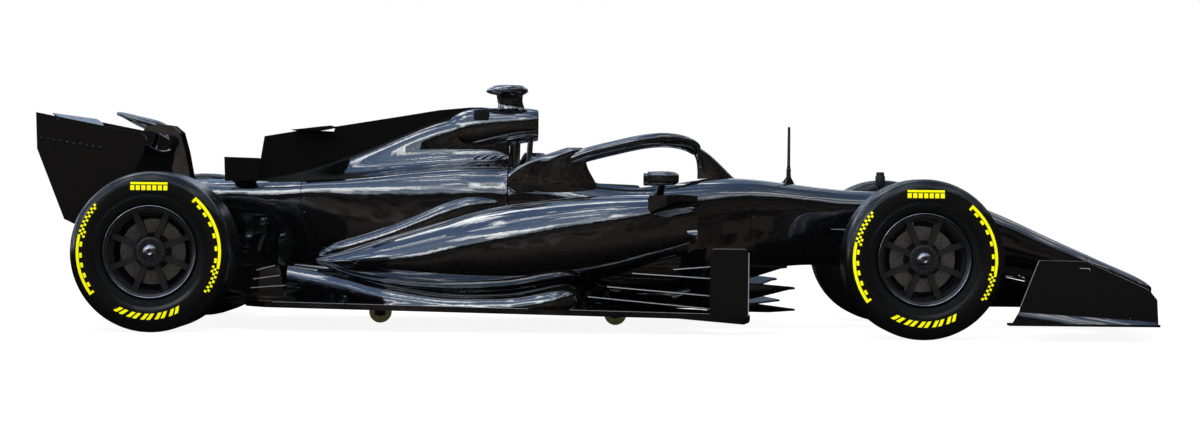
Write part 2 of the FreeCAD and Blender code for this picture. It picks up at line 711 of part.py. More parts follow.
def rim(centre, width, side):
    """A wheel rim: barrel with both flanges, flat spokes, hub and centre nut. side is 1 on the left."""
    half = width / 2
    f = half - FLANGE_INSET
    b = BEAD_RADIUS
    w = RIM_WALL
    flange = b + FLANGE_HEIGHT
    drop = b - 16
    profile = [(flange, f), (flange, f - 8), (b, f - 12), (b, f - 46), (drop, f - 66), (drop, -f + 66),
               (b, -f + 46),
               (b, -f + 12), (flange, -f + 8), (flange, -f), (flange - w, -f), (b - w, -f + 8), (b - w,
                                                                                                 -f + 46),
               (drop - w, -f + 66), (drop - w, f - 66), (b - w, f - 46), (b - w, f - 8), (flange - w, f)]
    barrel = ring(profile, centre)
    cx, cy, cz = centre
    face = cy + side * (f - 34)
    back = face - side * SPOKE_DEPTH
    solid = barrel
    hub = Part.makeCylinder(HUB_RADIUS, 70, V(cx, face + side * 8, cz), V(0, -side, 0))
    solid = solid.fuse(hub)
    for i in range(SPOKE_COUNT):
        angle = 360 / SPOKE_COUNT * (i + 0.5)
        spoke = box(cx + HUB_RADIUS - 8, cx + b - w / 2, face, back, cz - SPOKE_WIDTH / 2,
                    cz + SPOKE_WIDTH / 2)
        spoke.rotate(V(cx, cy, cz), V(0, 1, 0), angle)
        solid = solid.fuse(spoke)
    nut = Part.makeCylinder(NUT_RADIUS, 14, V(cx, face + side * 6, cz), V(0, side, 0))
    dome = Part.makeCone(NUT_RADIUS, NUT_TIP_RADIUS, 14, V(cx, face + side * 20, cz), V(0, side, 0))
    solid = solid.fuse(nut).fuse(dome)
    bore = Part.makeCylinder(AXLE_RADIUS + RUNNING_GAP, 80, V(cx, face - side * 6, cz), V(0, -side, 0))
    return solid.cut(bore)


def brake_disc(centre, width, side):
    """The carbon disc and its bell on the hub's back."""
    f = width / 2 - FLANGE_INSET
    cx, cy, cz = centre
    hub_back = cy + side * (f - 34 + 8 - 70)
    disc = Part.makeCylinder(DISC_RADIUS, DISC_THICKNESS, V(cx, hub_back, cz), V(0, -side, 0))
    return disc.cut(Part.makeCylinder(AXLE_RADIUS + 8, 200, V(cx, hub_back + side * 50, cz), V(0, -side, 0)))


def wheel_centre(front, side):
    """The middle of a wheel."""
    width = FRONT_TYRE_WIDTH if front else REAR_TYRE_WIDTH
    x = FRONT_AXLE_X if front else REAR_AXLE_X
    return (x, side * (OVERALL_WIDTH / 2 - width / 2), TYRE_RADIUS)


def hub_back_y(front, side):
    """Where the brake disc ends and the upright may begin."""
    width = FRONT_TYRE_WIDTH if front else REAR_TYRE_WIDTH
    centre = wheel_centre(front, side)
    f = width / 2 - FLANGE_INSET
    return centre[1] + side * (f - 34 + 8 - 70 - DISC_THICKNESS)


def kingpin_y(side):
    """The steering axis, just inside the brake disc."""
    return hub_back_y(True, side) - side * (MOVING_GAP + 26)


def front_upright(side):
    """A front upright: carrier, stub axle, steering arm and the bores for both ball joints."""
    x, cy, z = wheel_centre(True, side)
    ky = kingpin_y(side)
    start = hub_back_y(True, side) - side * MOVING_GAP
    face = cy + side * (FRONT_TYRE_WIDTH / 2 - FLANGE_INSET - 34)
    body = box(x - 46, x + 46, start, start - side * 52, z - BALL_HEIGHT + 16, z + BALL_HEIGHT - 16)
    axle = rod((x, start, z), (x, face - side * 12, z), AXLE_RADIUS)
    arm = box(x - STEERING_ARM, x - 30, ky - 14, ky + 14, z - 6, z + 6)
    eye = Part.makeCylinder(14, 12, V(x - STEERING_ARM, ky, z - 6), V(0, 0, 1))
    solid = body.fuse(axle).fuse(arm).fuse(eye)
    caliper = box(x + 60, x + 130, start - side * 2, start - side * 34, z - 60, z + 60)
    bridge = box(x + 40, x + 70, start - side * 6, start - side * 30, z - 40, z + 40)
    solid = solid.fuse(caliper).fuse(bridge)
    pin = rod((x, ky, z - 300), (x, ky, z + 300), KINGPIN_RADIUS + RUNNING_GAP)
    inner = rod((x, ky, z - BALL_HEIGHT + 46), (x, ky, z + BALL_HEIGHT - 46), KINGPIN_RADIUS + 3)
    solid = solid.cut(pin.cut(inner))
    return solid


def rear_upright(side):
    """A rear upright: carrier and stub axle, fixed between the wishbones."""
    x, cy, z = wheel_centre(False, side)
    start = hub_back_y(False, side) - side * MOVING_GAP
    face = cy + side * (REAR_TYRE_WIDTH / 2 - FLANGE_INSET - 34)
    body = box(x - 50, x + 50, start, start - side * 60, z - 125, z + 125)
    axle = rod((x, start, z), (x, face - side * 12, z), AXLE_RADIUS)
    return body.fuse(axle)


def front_suspension(side):
    """Upper and lower wishbones with their ball joint pins, and the push rod."""
    x = FRONT_AXLE_X
    z = TYRE_RADIUS
    ky = kingpin_y(side)
    pieces = []
    for way, inner_z in ((1, 446), (-1, 312)):
        outer_z = z + way * (BALL_HEIGHT + 2)
        ball = Part.makeCylinder(20, 20, V(x, ky, outer_z - 10), V(0, 0, 1))
        pin = rod((x, ky, outer_z), (x, ky, outer_z - way * 42), KINGPIN_RADIUS)
        solid = ball.fuse(pin)
        for inner_x in (x + 190, x - 340 if way > 0 else x - 250):
            solid = solid.fuse(strut((x, ky, outer_z), (inner_x, side * 100, inner_z), 50, 15))
        if way < 0:
            push_foot = (x + 6, ky - side * 50, outer_z + 7)
            solid = solid.fuse(strut(push_foot, (x + 20, side * 100, 545), 34, 15))
        pieces.append(solid)
    return pieces


def rear_suspension(side):
    """Upper and lower wishbones and the drive shaft."""
    x = REAR_AXLE_X
    z = TYRE_RADIUS
    start = hub_back_y(False, side) - side * (MOVING_GAP + 40)
    pieces = []
    for height, inner_z in ((112, 372), (-108, 262)):
        for outer_x, inner_x in ((x + 26, x + 330), (x - 26, x - 60)):
            pieces.append(strut((outer_x, start, z + height), (inner_x, side * 40, inner_z), 44, 16))
    pieces.append(rod((x, start, z), (x, side * 40, z - 10), 17))
    return pieces


def steering_rod():
    """The rack bar across the car, with an eye over each steering arm."""
    x = rod_x()
    z = rod_z()
    ends = [kingpin_y(side) for side in (1, -1)]
    solid = rod((x, ends[0], z), (x, ends[1], z), ROD_RADIUS)
    for y in ends:
        solid = solid.fuse(Part.makeCylinder(ROD_EYE_RADIUS, 16, V(x, y, z - 9), V(0, 0, 1)))
    return solid


def rear_end_plate():
    """The left rear wing endplate."""
    outline = [(TAIL_X, 922), (TAIL_X + 6, 765), (-2329, 463), (-2280, 440), (-2095, 405), (-2030, 660),
               (-1975, 806),
               (-1985, 826), (-2004, 836)]
    y = REAR_WING_HALF_SPAN
    plate = side_plate(outline, y - REAR_PLATE_THICKNESS, y)
    return plate.cut(rod((flap_axis()[0], y - 40, flap_axis()[1]), (flap_axis()[0], y + 40, flap_axis()[1]),
                         FLAP_PIN_RADIUS + RUNNING_GAP))


def flap_axis():
    """The flap's hinge line near its trailing edge, as (x, z)."""
    return (-2362, 893)


def rear_mainplane():
    """The rear wing's lower element, spooned in the middle."""
    tip = REAR_WING_HALF_SPAN - REAR_PLATE_THICKNESS
    stations = [(-tip, (-2000, 800), (-2226, 812)), (-tip * 0.6, (-2000, 782), (-2230, 800)),
                (0, (-1992, 766), (-2232, 796)),
                (tip * 0.6, (-2000, 782), (-2230, 800)), (tip, (-2000, 800), (-2226, 812))]
    return wing_span(stations, 0.07, 0.07)


def rear_flap():
    """The rear wing's upper element, on two pins in the endplates."""
    tip = REAR_WING_HALF_SPAN - REAR_PLATE_THICKNESS - MOVING_GAP
    element = wing_span([(y, (-2226, 832), (-2386, 918)) for y in (-tip, 0, tip)], 0.055, 0.05)
    x, z = flap_axis()
    for side in (-1, 1):
        element = element.fuse(rod((x, side * (tip - 30), z), (x, side * (REAR_WING_HALF_SPAN - 1), z),
                                   FLAP_PIN_RADIUS))
    return element


def wing_drive():
    """The flap drive's fairing over the middle of the rear wing, between its two necks."""
    stations = ((-1946, 66, 800, 850, 3.0), (-1990, 66, 832, 892, 3.0), (-2070, 62, 862, 916, 2.8),
                (-2140, 52, 896, 932, 2.6), (-2196, 34, 924, 940, 2.4))
    return loft([superellipse(x, w, low, high, p) for x, w, low, high, p in stations])


def swan_neck():
    """The left rear wing pylon: up from the gearbox, and over the mainplane's nose."""
    outline = [(-1800, 330), (-1830, 500), (-1880, 760), (-1905, 850), (-1940, 880), (-2000, 886),
               (-2060, 872),
               (-2075, 840), (-2080, 762), (-2040, 760), (-2020, 836), (-1990, 846), (-1956, 836), (-1946,
                                                                                                    760),
               (-1916, 500), (-1920, 330)]
    return side_plate(outline, 66, 76)


def t_wing():
    """The small wing at the fin's foot: a low plane with two end plates."""
    plane = loft([airfoil((-1580, 700), (-1680, 716), 0.06, 0.05, y) for y in (-130, 0, 130)])
    solid = plane
    for side in (-1, 1):
        solid = solid.fuse(side_plate([(-1541, 738), (-1541, 640), (-1694, 634), (-1698, 742)],
                                      side * 130, side * 134))
    post = side_plate([(-1580, 600), (-1580, 706), (-1680, 712), (-1680, 600)], -4, 4)
    return solid.fuse(post)


def fin_winglet():
    """The short plane across the fin's top, ahead of its step."""
    return loft([airfoil((-1222, 884), (-1404, 866), 0.07, 0.02, y) for y in (-90, 0, 90)])


def front_wing():
    """The front wing's mainplane, swept, with three flaps each side and the two nose pylons."""
    tip = FRONT_WING_HALF_SPAN - FRONT_PLATE_THICKNESS
    main = []
    for y in (-tip, -600, -250, 0, 250, 600, tip):
        share = abs(y) / tip
        lead = 2440 - 170 * share ** 1.5
        main.append((y, (lead, 96 + 6 * share), (lead - 300 + 40 * share, 112 + 12 * share)))
    mainplane = wing_span(main, 0.035, 0.03)
    flaps = []
    for k in range(3):
        rows = []
        for y in (250, 500, 760, tip):
            share = (y - 250) / (tip - 250)
            lead = 2150 - 110 * k - 70 * share
            rows.append((y, (lead, 140 + 44 * k + 8 * share), (lead - 112, 168 + 44 * k + 16 * share)))
        flaps.append(wing_span(rows, 0.05, 0.05))
    pylons = []
    for y in (40, -40):
        rows = [level_oval(2302, y, 94, 94, 5), level_oval(2292, y, 160, 84, 5),
                level_oval(2280, y, 232, 70, 5)]
        pylons.append(loft(rows))
    return mainplane, flaps, pylons


def front_end_plate():
    """The left front wing endplate and its foot plate."""
    y = FRONT_WING_HALF_SPAN
    outline = [(1722, 90), (1722, 139), (1800, 338), (1996, 336), (2258, 219), (2291, 179), (2296, 84)]
    plate = side_plate(outline, y - FRONT_PLATE_THICKNESS, y)
    foot = flat_plate([(1677, y + 14), (1677, y - 60), (2302, y - 60), (2302, y + 14)], 66, 76)
    foot = foot.fuse(side_plate([(1690, 70), (1712, 104), (1724, 140), (2296, 92), (2296, 70)],
                                y - FRONT_PLATE_THICKNESS, y))
    rear = [V(1690, y - 4, 75), V(1690, y + 13, 75), V(1722, y - 4, 132)]
    front = [V(2290, y - 4, 75), V(2290, y + 13, 75), V(2284, y - 4, 90)]
    foot = foot.fuse(loft([Part.makePolygon(rear + rear[:1]), Part.makePolygon(front + front[:1])]))
    return plate.fuse(foot)


def deflector():
    """The left upright board beside the cockpit."""
    y = FLOOR_HALF_WIDTH + SEAT_GAP
    outline = [(444, 74), (444, 356), (456, 367), (593, 367), (605, 356), (605, 74)]
    return side_plate(outline, y, y + 8)


def build():
    """Makes every node."""
    os.makedirs(OUT, exist_ok=True)
    cell = survival_cell().fuse(dash())
    outer = cell_outer()
    nose = nose_cone()
    cover_form = cover_outer()
    block = engine_block()
    box_case = largest(gearbox().cut(block).cut(below_floor_top()))
    cover = largest(engine_cover().cut(box_case))
    export("survival_cell", cell)
    export("nose_cone", nose)
    export("engine_cover", cover)
    pod_mount = largest(camera_pod().cut(cover))
    fin = largest(shark_fin().cut(cover_form).cut(cover).cut(pod_mount).cut(fin_winglet()))
    export("shark_fin", fin)
    under = side_plate(under_crown(outer, CELL_REAR_X + 1, -195, 90), -200, 200)
    hoop = [largest(leg.cut(under).cut(cover).cut(headrest())) for leg in roll_hoop()]
    export("roll_hoop", hoop)
    pod = sidepod()
    export("sidepods", both(pod))
    base = floor()
    for x in ROLLER_X:
        base = base.cut(roller_slot(x))
    export("floor", base)
    export("plank", plank())
    export("diffuser", largest(diffuser().cut(box_case)))
    boards = [bargeboards().cut(pod).cut(outer).cut(below_floor_top()), deflector()]
    export("bargeboards", [s for piece in boards for s in both(largest(piece))])
    export("halo", largest(halo().cut(outer)))
    export("camera_pod", pod_mount)
    export("antenna", [largest(antenna().cut(cell)), largest(nose_post().cut(cell))])
    export("mirrors", both(largest(mirrors().cut(pod))))
    export("headrest", headrest().cut(cell))
    export("seat", largest(seat().cut(cell).cut(headrest())))
    export("handwheel", handwheel())
    export("engine_block", block)
    export("gearbox", box_case)
    export("exhaust", exhaust().cut(cover))
    arms = []
    for side in (1, -1):
        for piece in front_suspension(side):
            arms.extend(sizeable(piece.cut(outer)))
    export("front_suspension", arms)
    arms = []
    for side in (1, -1):
        for piece in rear_suspension(side):
            arms.extend(sizeable(piece.cut(box_case).cut(cover_form).cut(rear_upright(side))))
    export("rear_suspension", arms)
    export("steering_rod", steering_rod())
    main, flaps, pylons = front_wing()
    export("front_mainplane", main.fuse([largest(p.cut(nose)) for p in pylons]))
    export("front_flaps", [s for flap in flaps for s in both(flap)])
    export("front_endplates", both(front_end_plate()))
    export("rear_mainplane", rear_mainplane())
    export("rear_flap", rear_flap())
    export("rear_endplates", both(rear_end_plate()))
    necks = both(largest(swan_neck().cut(rear_mainplane()).cut(box_case).cut(cover_form)))
    export("swan_necks", necks[0].fuse([necks[1], wing_drive()]))
    export("t_wing", [largest(t_wing().cut(cover_form).cut(fin)), fin_winglet()])
    for front, where in ((True, "front"), (False, "rear")):
        width = FRONT_TYRE_WIDTH if front else REAR_TYRE_WIDTH
        for side, hand in ((-1, "right"), (1, "left")):
            centre = wheel_centre(front, side)
            export(f"tyre_{where}_{hand}", tyre(centre, width))
            export(f"rim_{where}_{hand}", rim(centre, width, side).fuse(brake_disc(centre, width, side)))
    export("upright_front_right", front_upright(-1))
    export("upright_front_left", front_upright(1))
    export("rear_uprights", [rear_upright(side) for side in (-1, 1)])
    for i, x in enumerate(ROLLER_X):
        export(f"roller_{('front', 'rear')[i]}", roller(x))
    export("roller_brackets", [roller_bracket(x) for x in ROLLER_X])


build()
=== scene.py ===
# %% [markdown]
# # Dressing an open wheel racing car
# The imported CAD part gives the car's exact shape and its moving bodies. This lesson adds what a
# viewer's eye looks for: black lacquer that mirrors the sky, slick tyres with their painted marks,
# pads and belts in the cockpit, seams, bolts and bare edges. Nothing in the CAD part is moved.

import json
import math

import bpy
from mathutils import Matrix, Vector
from mathutils.bvhtree import BVHTree


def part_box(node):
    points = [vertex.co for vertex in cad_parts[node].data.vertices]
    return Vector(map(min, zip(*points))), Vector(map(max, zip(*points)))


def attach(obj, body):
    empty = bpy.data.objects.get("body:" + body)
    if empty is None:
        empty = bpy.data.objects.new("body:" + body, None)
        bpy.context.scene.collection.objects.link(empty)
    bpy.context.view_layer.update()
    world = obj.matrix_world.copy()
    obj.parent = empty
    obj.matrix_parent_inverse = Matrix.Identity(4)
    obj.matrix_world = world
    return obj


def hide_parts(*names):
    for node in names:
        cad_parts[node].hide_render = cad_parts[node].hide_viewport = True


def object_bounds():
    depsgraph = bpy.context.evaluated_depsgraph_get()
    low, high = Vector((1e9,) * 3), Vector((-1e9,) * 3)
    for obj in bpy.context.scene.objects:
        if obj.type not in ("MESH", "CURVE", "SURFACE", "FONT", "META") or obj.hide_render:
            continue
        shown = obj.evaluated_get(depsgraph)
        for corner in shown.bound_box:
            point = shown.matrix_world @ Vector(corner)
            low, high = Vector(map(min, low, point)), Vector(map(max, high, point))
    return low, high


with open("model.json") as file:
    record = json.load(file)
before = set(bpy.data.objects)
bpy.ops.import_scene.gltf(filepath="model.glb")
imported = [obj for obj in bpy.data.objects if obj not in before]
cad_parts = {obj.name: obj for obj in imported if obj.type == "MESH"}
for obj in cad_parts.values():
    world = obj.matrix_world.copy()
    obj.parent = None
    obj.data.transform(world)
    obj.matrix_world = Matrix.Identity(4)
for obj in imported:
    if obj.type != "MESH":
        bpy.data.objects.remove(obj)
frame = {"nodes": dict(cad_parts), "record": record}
NODES = frame["nodes"]
CAD_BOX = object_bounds()
scene = bpy.context.scene
print("car", [round(v, 3) for v in CAD_BOX[1] - CAD_BOX[0]], "m,", len(NODES), "parts")

# %% [markdown]
# ## Finishes
# Almost everything on this car is black, so the finishes differ by how they mirror the light and
# not by colour. A finish is a tree of nodes. These helpers add a node and set its inputs, each to
# a value or to what another node gives, so that a tree reads from top to bottom.


# %% Nodes
def feed(tree, node, inputs):
    """Sets inputs of a node, each to a value or to another node's output."""
    for key, value in inputs.items():
        if isinstance(value, bpy.types.NodeSocket):
            tree.links.new(value, node.inputs[key])
        else:
            node.inputs[key].default_value = value


def add_node(tree, kind, inputs=None, **settings):
    """A new node with its settings and its inputs."""
    made = tree.nodes.new("ShaderNode" + kind)
    for key, value in settings.items():
        setattr(made, key, value)
    feed(tree, made, inputs or {})
    return made


def spread(tree, value, start, end):
    """The output of a node that maps a value from one range to another."""
    ends = {"From Min": start[0], "From Max": start[1], "To Min": end[0], "To Max": end[1]}
    return add_node(tree, "MapRange", {"Value": value, **ends}).outputs["Result"]


def noise_over(tree, place, scale, **inputs):
    """The output of a noise of a given fineness over a place."""
    return add_node(tree, "TexNoise", {"Vector": place, "Scale": scale, **inputs}).outputs["Fac"]


# %% [markdown]
# One function makes a plain surface. A little noise in its roughness keeps it from looking like
# one sheet of plastic. A painted texture would do that too, but noise needs no unwrapped surface.


# %% A plain finish
def finish(name, colour, rough, metal=0.0, index=1.5, patchy=0.0, grain=40.0):
    """A surface of one colour, whose roughness varies a little from place to place when it is patchy."""
    made = bpy.data.materials.new(name)
    made.use_nodes = True
    tree = made.node_tree
    skin = tree.nodes["Principled BSDF"]
    feed(tree, skin, {"Base Color": (*colour, 1), "Roughness": rough, "Metallic": metal, "IOR": index})
    if patchy:
        place = add_node(tree, "TexCoord").outputs["Object"]
        patches = noise_over(tree, place, grain, Detail=4)
        ends = (max(rough - patchy, 0.02), min(rough + patchy, 1))
        feed(tree, skin, {"Roughness": spread(tree, patches, (0.3, 0.7), ends)})
    return made


# %% [markdown]
# Carbon cloth is woven from flat tows that cross in steps, a twill. Two sets of stripes that cross
# at a right angle, multiplied, give its small bright squares. On bare panels they lift the surface
# a little. Under lacquer the surface is flat, and the squares only show as a faint change of sheen.
# A wave texture of scale 1 has a stripe about every 0.32 m, which gives the scale for a tow.

# %% Carbon weave
TOW = 0.004
TOW_RISE = 0.0003
STRIPE_AT_SCALE_ONE = 0.32


def weave(material, depth, contrast):
    """Adds a twill weave to a finish: a slight change of roughness, and a slight bump if it has depth."""
    tree = material.node_tree
    skin = tree.nodes["Principled BSDF"]
    place = add_node(tree, "TexCoord").outputs["Object"]
    stripes = {}
    for slot, turn in enumerate((0.0, math.pi / 2)):
        lay = add_node(tree, "Mapping", {"Vector": place, "Rotation": (math.pi / 4, turn, math.pi / 4)})
        scale = STRIPE_AT_SCALE_ONE / TOW
        tows = add_node(tree, "TexWave", {"Vector": lay.outputs["Vector"], "Scale": scale})
        stripes[slot] = tows.outputs["Fac"]
    cross = add_node(tree, "Math", stripes, operation="MULTIPLY").outputs["Value"]
    rough = skin.inputs["Roughness"].default_value
    feed(tree, skin, {"Roughness": spread(tree, cross, (0, 1), (rough - contrast, rough + contrast))})
    if depth:
        bump = add_node(tree, "Bump", {"Height": cross, "Strength": depth, "Distance": TOW_RISE})
        feed(tree, skin, {"Normal": bump.outputs["Normal"]})
    return material


# %% [markdown]
# The body's lacquer is a thick clear coat over black carbon. A clear coat has its own index, and a
# high one makes the strong mirror that polished show cars have. Laid up by hand, a large panel is
# never quite true either, and a mirror shows it: the clouds in it run in soft waves. A very broad
# noise, a few millimetres high, tilts the coat by one or two degrees.

# %% Lacquer and bare carbon
lacquer = weave(finish("black_lacquer", (0.003, 0.003, 0.0035), 0.10, index=2.1), 0, 0.03)
bare_carbon = weave(finish("bare_carbon", (0.0055, 0.005, 0.005), 0.24, index=1.6), 0.12, 0.06)
SWELL_FINENESS = 3.2
SWELL_HEIGHT = 0.010
coat_tree = lacquer.node_tree
swell = noise_over(coat_tree, add_node(coat_tree, "TexCoord").outputs["Object"], SWELL_FINENESS, Detail=1.5)
waves = add_node(coat_tree, "Bump", {"Height": swell, "Strength": 1.0, "Distance": SWELL_HEIGHT})
tilt = waves.outputs["Normal"]
coat = {"Coat Weight": 1.0, "Coat Roughness": 0.012, "Coat IOR": 2.8, "Coat Normal": tilt, "Normal": tilt}
feed(coat_tree, coat_tree.nodes["Principled BSDF"], coat)
print("lacquer with waves", SWELL_HEIGHT * 1000, "mm high at most")

# %% [markdown]
# The other finishes are plain ones. The record of the part names a finish for each CAD part, and
# the rest are for pieces that this lesson adds. Each has the tone and gloss of its real material.

# %% Finishes by name
FINISHES = {
    "carbon_gloss": lacquer,
    "carbon_matt": bare_carbon,
    "plank": finish("plank_board", (0.02, 0.017, 0.014), 0.6, patchy=0.1),
    "pad": finish("foam_cover", (0.014, 0.014, 0.015), 0.6, patchy=0.1, grain=180),
    "seat_shell": finish("seat_shell", (0.010, 0.010, 0.011), 0.4, patchy=0.1),
    "engine_metal": finish("cast_metal", (0.10, 0.10, 0.105), 0.45, metal=1.0, patchy=0.1),
    "steel": finish("brushed_steel", (0.16, 0.15, 0.14), 0.35, metal=1.0, patchy=0.1),
    "aluminium": finish("turned_aluminium", (0.20, 0.20, 0.21), 0.32, metal=1.0, patchy=0.08),
    "tyre": finish("slick_rubber", (0.004, 0.004, 0.0042), 0.21, index=1.78, patchy=0.07, grain=11),
    "rim_metal": finish("rim_paint", (0.012, 0.012, 0.013), 0.34, index=1.7, patchy=0.05),
    "grip": finish("grip_rubber", (0.012, 0.012, 0.012), 0.55, patchy=0.1),
    "roller": finish("roller_plastic", (0.86, 0.76, 0.30), 0.4, patchy=0.1, grain=90),
}
marking = finish("tyre_marking", (1.0, 0.955, 0.0), 0.6, index=1.25, patchy=0.05)
# The hollow's darker, duller rubber is painted shade.
hollow_shade_rubber = finish("dull_rubber_painted_shade", (0.003, 0.003, 0.003), 0.75, patchy=0.1)
# A pale grey that paints the highlight on cut edges; the steering wheel's buttons are this grey too.
edge = finish("pale_grey_and_edge_highlight", (0.36, 0.37, 0.39), 0.3, patchy=0.05)
shadow_gap = finish("shadow_gap", (0.0012, 0.0012, 0.0012), 0.85, patchy=0.1)
brake_dust = finish("brake_dust", (0.105, 0.090, 0.083), 0.7, patchy=0.15, grain=30)
lip_polish = finish("polished_lip", (0.62, 0.64, 0.68), 0.16, metal=1.0, patchy=0.04)
nut_alloy = finish("nut_alloy", (0.80, 0.80, 0.84), 0.26, metal=1.0, patchy=0.05)
bolt_head = finish("bolt_head", (0.35, 0.35, 0.36), 0.3, metal=1.0, patchy=0.05)
webbing = finish("belt_webbing", (0.02, 0.02, 0.022), 0.75, patchy=0.12, grain=300)
piping = finish("seam_thread", (0.05, 0.05, 0.052), 0.6, patchy=0.1, grain=400)
dark_glass = finish("dark_glass", (0.006, 0.006, 0.008), 0.04, index=1.8)
mirror_glass = finish("mirror_glass", (0.75, 0.77, 0.8), 0.03, metal=1.0)
lamp_red = finish("lamp_red", (0.16, 0.006, 0.006), 0.18)
print(len(bpy.data.materials), "finishes")

# %% [markdown]
# Each CAD part takes the finish that the record names. The fin and the small wing on it were left
# satin, and stay almost black under any sky.

# %% Finishes on the CAD parts
SLOT = {part["node"]: part["material_slot"] for part in frame["record"]["subparts"]}
SATIN_PARTS = ("shark_fin", "t_wing")
satin = weave(finish("satin_carbon", (0.0022, 0.0021, 0.0022), 0.36, index=1.5), 0.10, 0.05)
for name, part in NODES.items():
    part.data.materials.clear()
    part.data.materials.append(satin if name in SATIN_PARTS else FINISHES[SLOT[name]])
print("satin parts:", ", ".join(SATIN_PARTS))

# %% [markdown]
# ## Small tools
# Steps along a line and around a circle come up again and again, so they have a name each.

# %% Steps and circles
SIDES = (-1, 1)
HANDS = {-1: "right", 1: "left"}


def steps_between(start, end, count):
    """Values or points from start to end, in equal steps."""
    return [start + (end - start) * i / count for i in range(count + 1)]


def turns(count):
    """Angles that go once around, in equal steps."""
    return [2 * math.pi * i / count for i in range(count)]


def on_circle(centre, radius, turn):
    """A point of an upright circle that faces the car's side."""
    return centre + Vector((radius * math.cos(turn), 0, radius * math.sin(turn)))


# %% [markdown]
# Marks and seams lie on curved panels. A ray that is sent at a panel finds the point that it
# meets, and lifting that point a little along the panel's normal keeps the mark in front of it. A
# shrinkwrap modifier could do the same, but a ray also tells where there is no panel at all.

# %% Rays at a panel
FAR = 1.3


def skin_of(*names):
    """A searchable copy of the outer skin of some CAD parts."""
    points = []
    faces = []
    for name in names:
        mesh = NODES[name].data
        start = len(points)
        points.extend(v.co.copy() for v in mesh.vertices)
        faces.extend([start + i for i in p.vertices] for p in mesh.polygons)
    return BVHTree.FromPolygons(points, faces)


def spot_of(skin, start, way):
    """Where a ray meets a skin, and the skin's normal there, turned towards the ray's start."""
    place, normal, _, _ = skin.ray_cast(Vector(start), Vector(way))
    if place is not None and normal.dot(Vector(way)) > 0:
        normal = -normal
    return place, normal


def meets(skin, start, way, lift=0.0005):
    """Where a ray meets the skin, lifted off it, or None."""
    place, normal = spot_of(skin, start, way)
    return None if place is None else place + normal * lift


def from_side(skin, side, x, z, lift=0.0005):
    """The point of a skin that is seen from one side of the car at a place (x, z)."""
    return meets(skin, (x, side * FAR, z), (0, -side, 0), lift)


# %% [markdown]
# Most small pieces are gathered in a heap of points and faces and then become one mesh, so that a
# row of bolts is one piece. The heap knows two forms, a sheet through rows of points and a tube
# through rings of points. Other forms come as functions, each where it is first needed.


# %% The heap
class Heap:
    """Points and faces that are gathered before they become one mesh."""

    def __init__(self):
        self.points = []
        self.faces = []

    def sheet(self, rows):
        """A sheet through rows of points; squares with a missing corner are left out."""
        index = {}
        for i, row in enumerate(rows):
            for j, point in enumerate(row):
                if point is not None:
                    index[i, j] = len(self.points)
                    self.points.append(point)
        for i in range(len(rows) - 1):
            for j in range(len(rows[0]) - 1):
                corners = [(i, j), (i, j + 1), (i + 1, j + 1), (i + 1, j)]
                if all(c in index for c in corners):
                    self.faces.append([index[c] for c in corners])

    def tube(self, rings, closed=False):
        """A skin through rings of points, with both ends closed unless the tube closes on itself."""
        start = len(self.points)
        n = len(rings[0])
        for ring in rings:
            self.points.extend(ring)
        last = len(rings) if closed else len(rings) - 1
        for i in range(last):
            here, there = start + i * n, start + (i + 1) % len(rings) * n
            for j in range(n):
                k = (j + 1) % n
                self.faces.append([here + j, here + k, there + k, there + j])
        if not closed:
            self.faces.append([start + j for j in reversed(range(n))])
            self.faces.append([start + (len(rings) - 1) * n + j for j in range(n)])

    def piece(self, name, material, body, slot, smooth=False):
        """The heap as one mesh that rides on a CAD body."""
        mesh = bpy.data.meshes.new(name)
        mesh.from_pydata([tuple(p) for p in self.points], [], self.faces)
        mesh.materials.append(material)
        made = bpy.data.objects.new(name, mesh)
        scene.collection.objects.link(made)
        for face in mesh.polygons:
            face.use_smooth = smooth
        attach(made, body)
        return made


# %% [markdown]
# ## Wheels
# Every wheel is dressed in the same way, so one list names them, with the body that each rides on,
# the side of the car that it faces, its axle and the middle of its nut's face.

# %% The four wheels
WHEELS = []
for where in ("front", "rear"):
    for side, hand in HANDS.items():
        low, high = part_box(f"tyre_{where}_{hand}")
        rim_low, rim_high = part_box(f"rim_{where}_{hand}")
        wheel = {"name": f"{where}_{hand}", "body": f"wheel_{where}_{hand}", "side": side, "hand": hand}
        wheel["steered"] = where == "front"
        wheel["axle"] = Vector(((low.x + high.x) / 2, 0, (low.z + high.z) / 2))
        wheel["nut"] = Vector((wheel["axle"].x, rim_low.y if side < 0 else rim_high.y, wheel["axle"].z))
        wheel["tyre"] = skin_of("tyre_" + wheel["name"])
        wheel["rim"] = skin_of("rim_" + wheel["name"])
        WHEELS.append(wheel)
        print(wheel["name"], "axle at x", round(wheel["axle"].x, 3), "nut at y", round(wheel["nut"].y, 3))

# %% [markdown]
# ### Painted marks
# The tyre wall carries two long yellow bands with dashes inside them, each running out into a
# chequered tail, a bar at the top and slanted strokes at the bottom. An image could hold them, but
# real patches stay sharp from close by. Each is a patch in polar coordinates that is laid on the
# rubber by rays along the axle. Radii are in metres, and angles in degrees from the front.

# %% Marks on the tyre walls
BAND = (0.289, 0.301)
BAND_HOOK = (0.277, 0.289)
DASH = (0.2755, 0.2865)
DASHES = (173.8, 183.2, 191.5, 200.5, 209.0, 42.1, 34.1, 24.9, 14.6, 3.6, -6.6)
DASH_HALF, HOOK = 2, 2
CHEQUER, WIDE_SHARE = 0.0100, 0.25
LEFT_BAND, LEFT_TAIL = (168, 217), 138
RIGHT_BAND, RIGHT_TAIL = (-11, 50), -36
BAR_HALF, BAR = 0.077, (0.281, 0.290)
TEETH, TOOTH, TOOTH_PITCH, TOOTH_LEVELS = 7, 0.017, 0.0228, (0.257, 0.277)
STROKE_PAIRS, STROKE_PITCH, STROKE_OFF, STROKE_HALF, SLANT = 5, 12.2, 2.6, 1.7, -4
STROKES, BOTTOM = (0.255, 0.280), 270


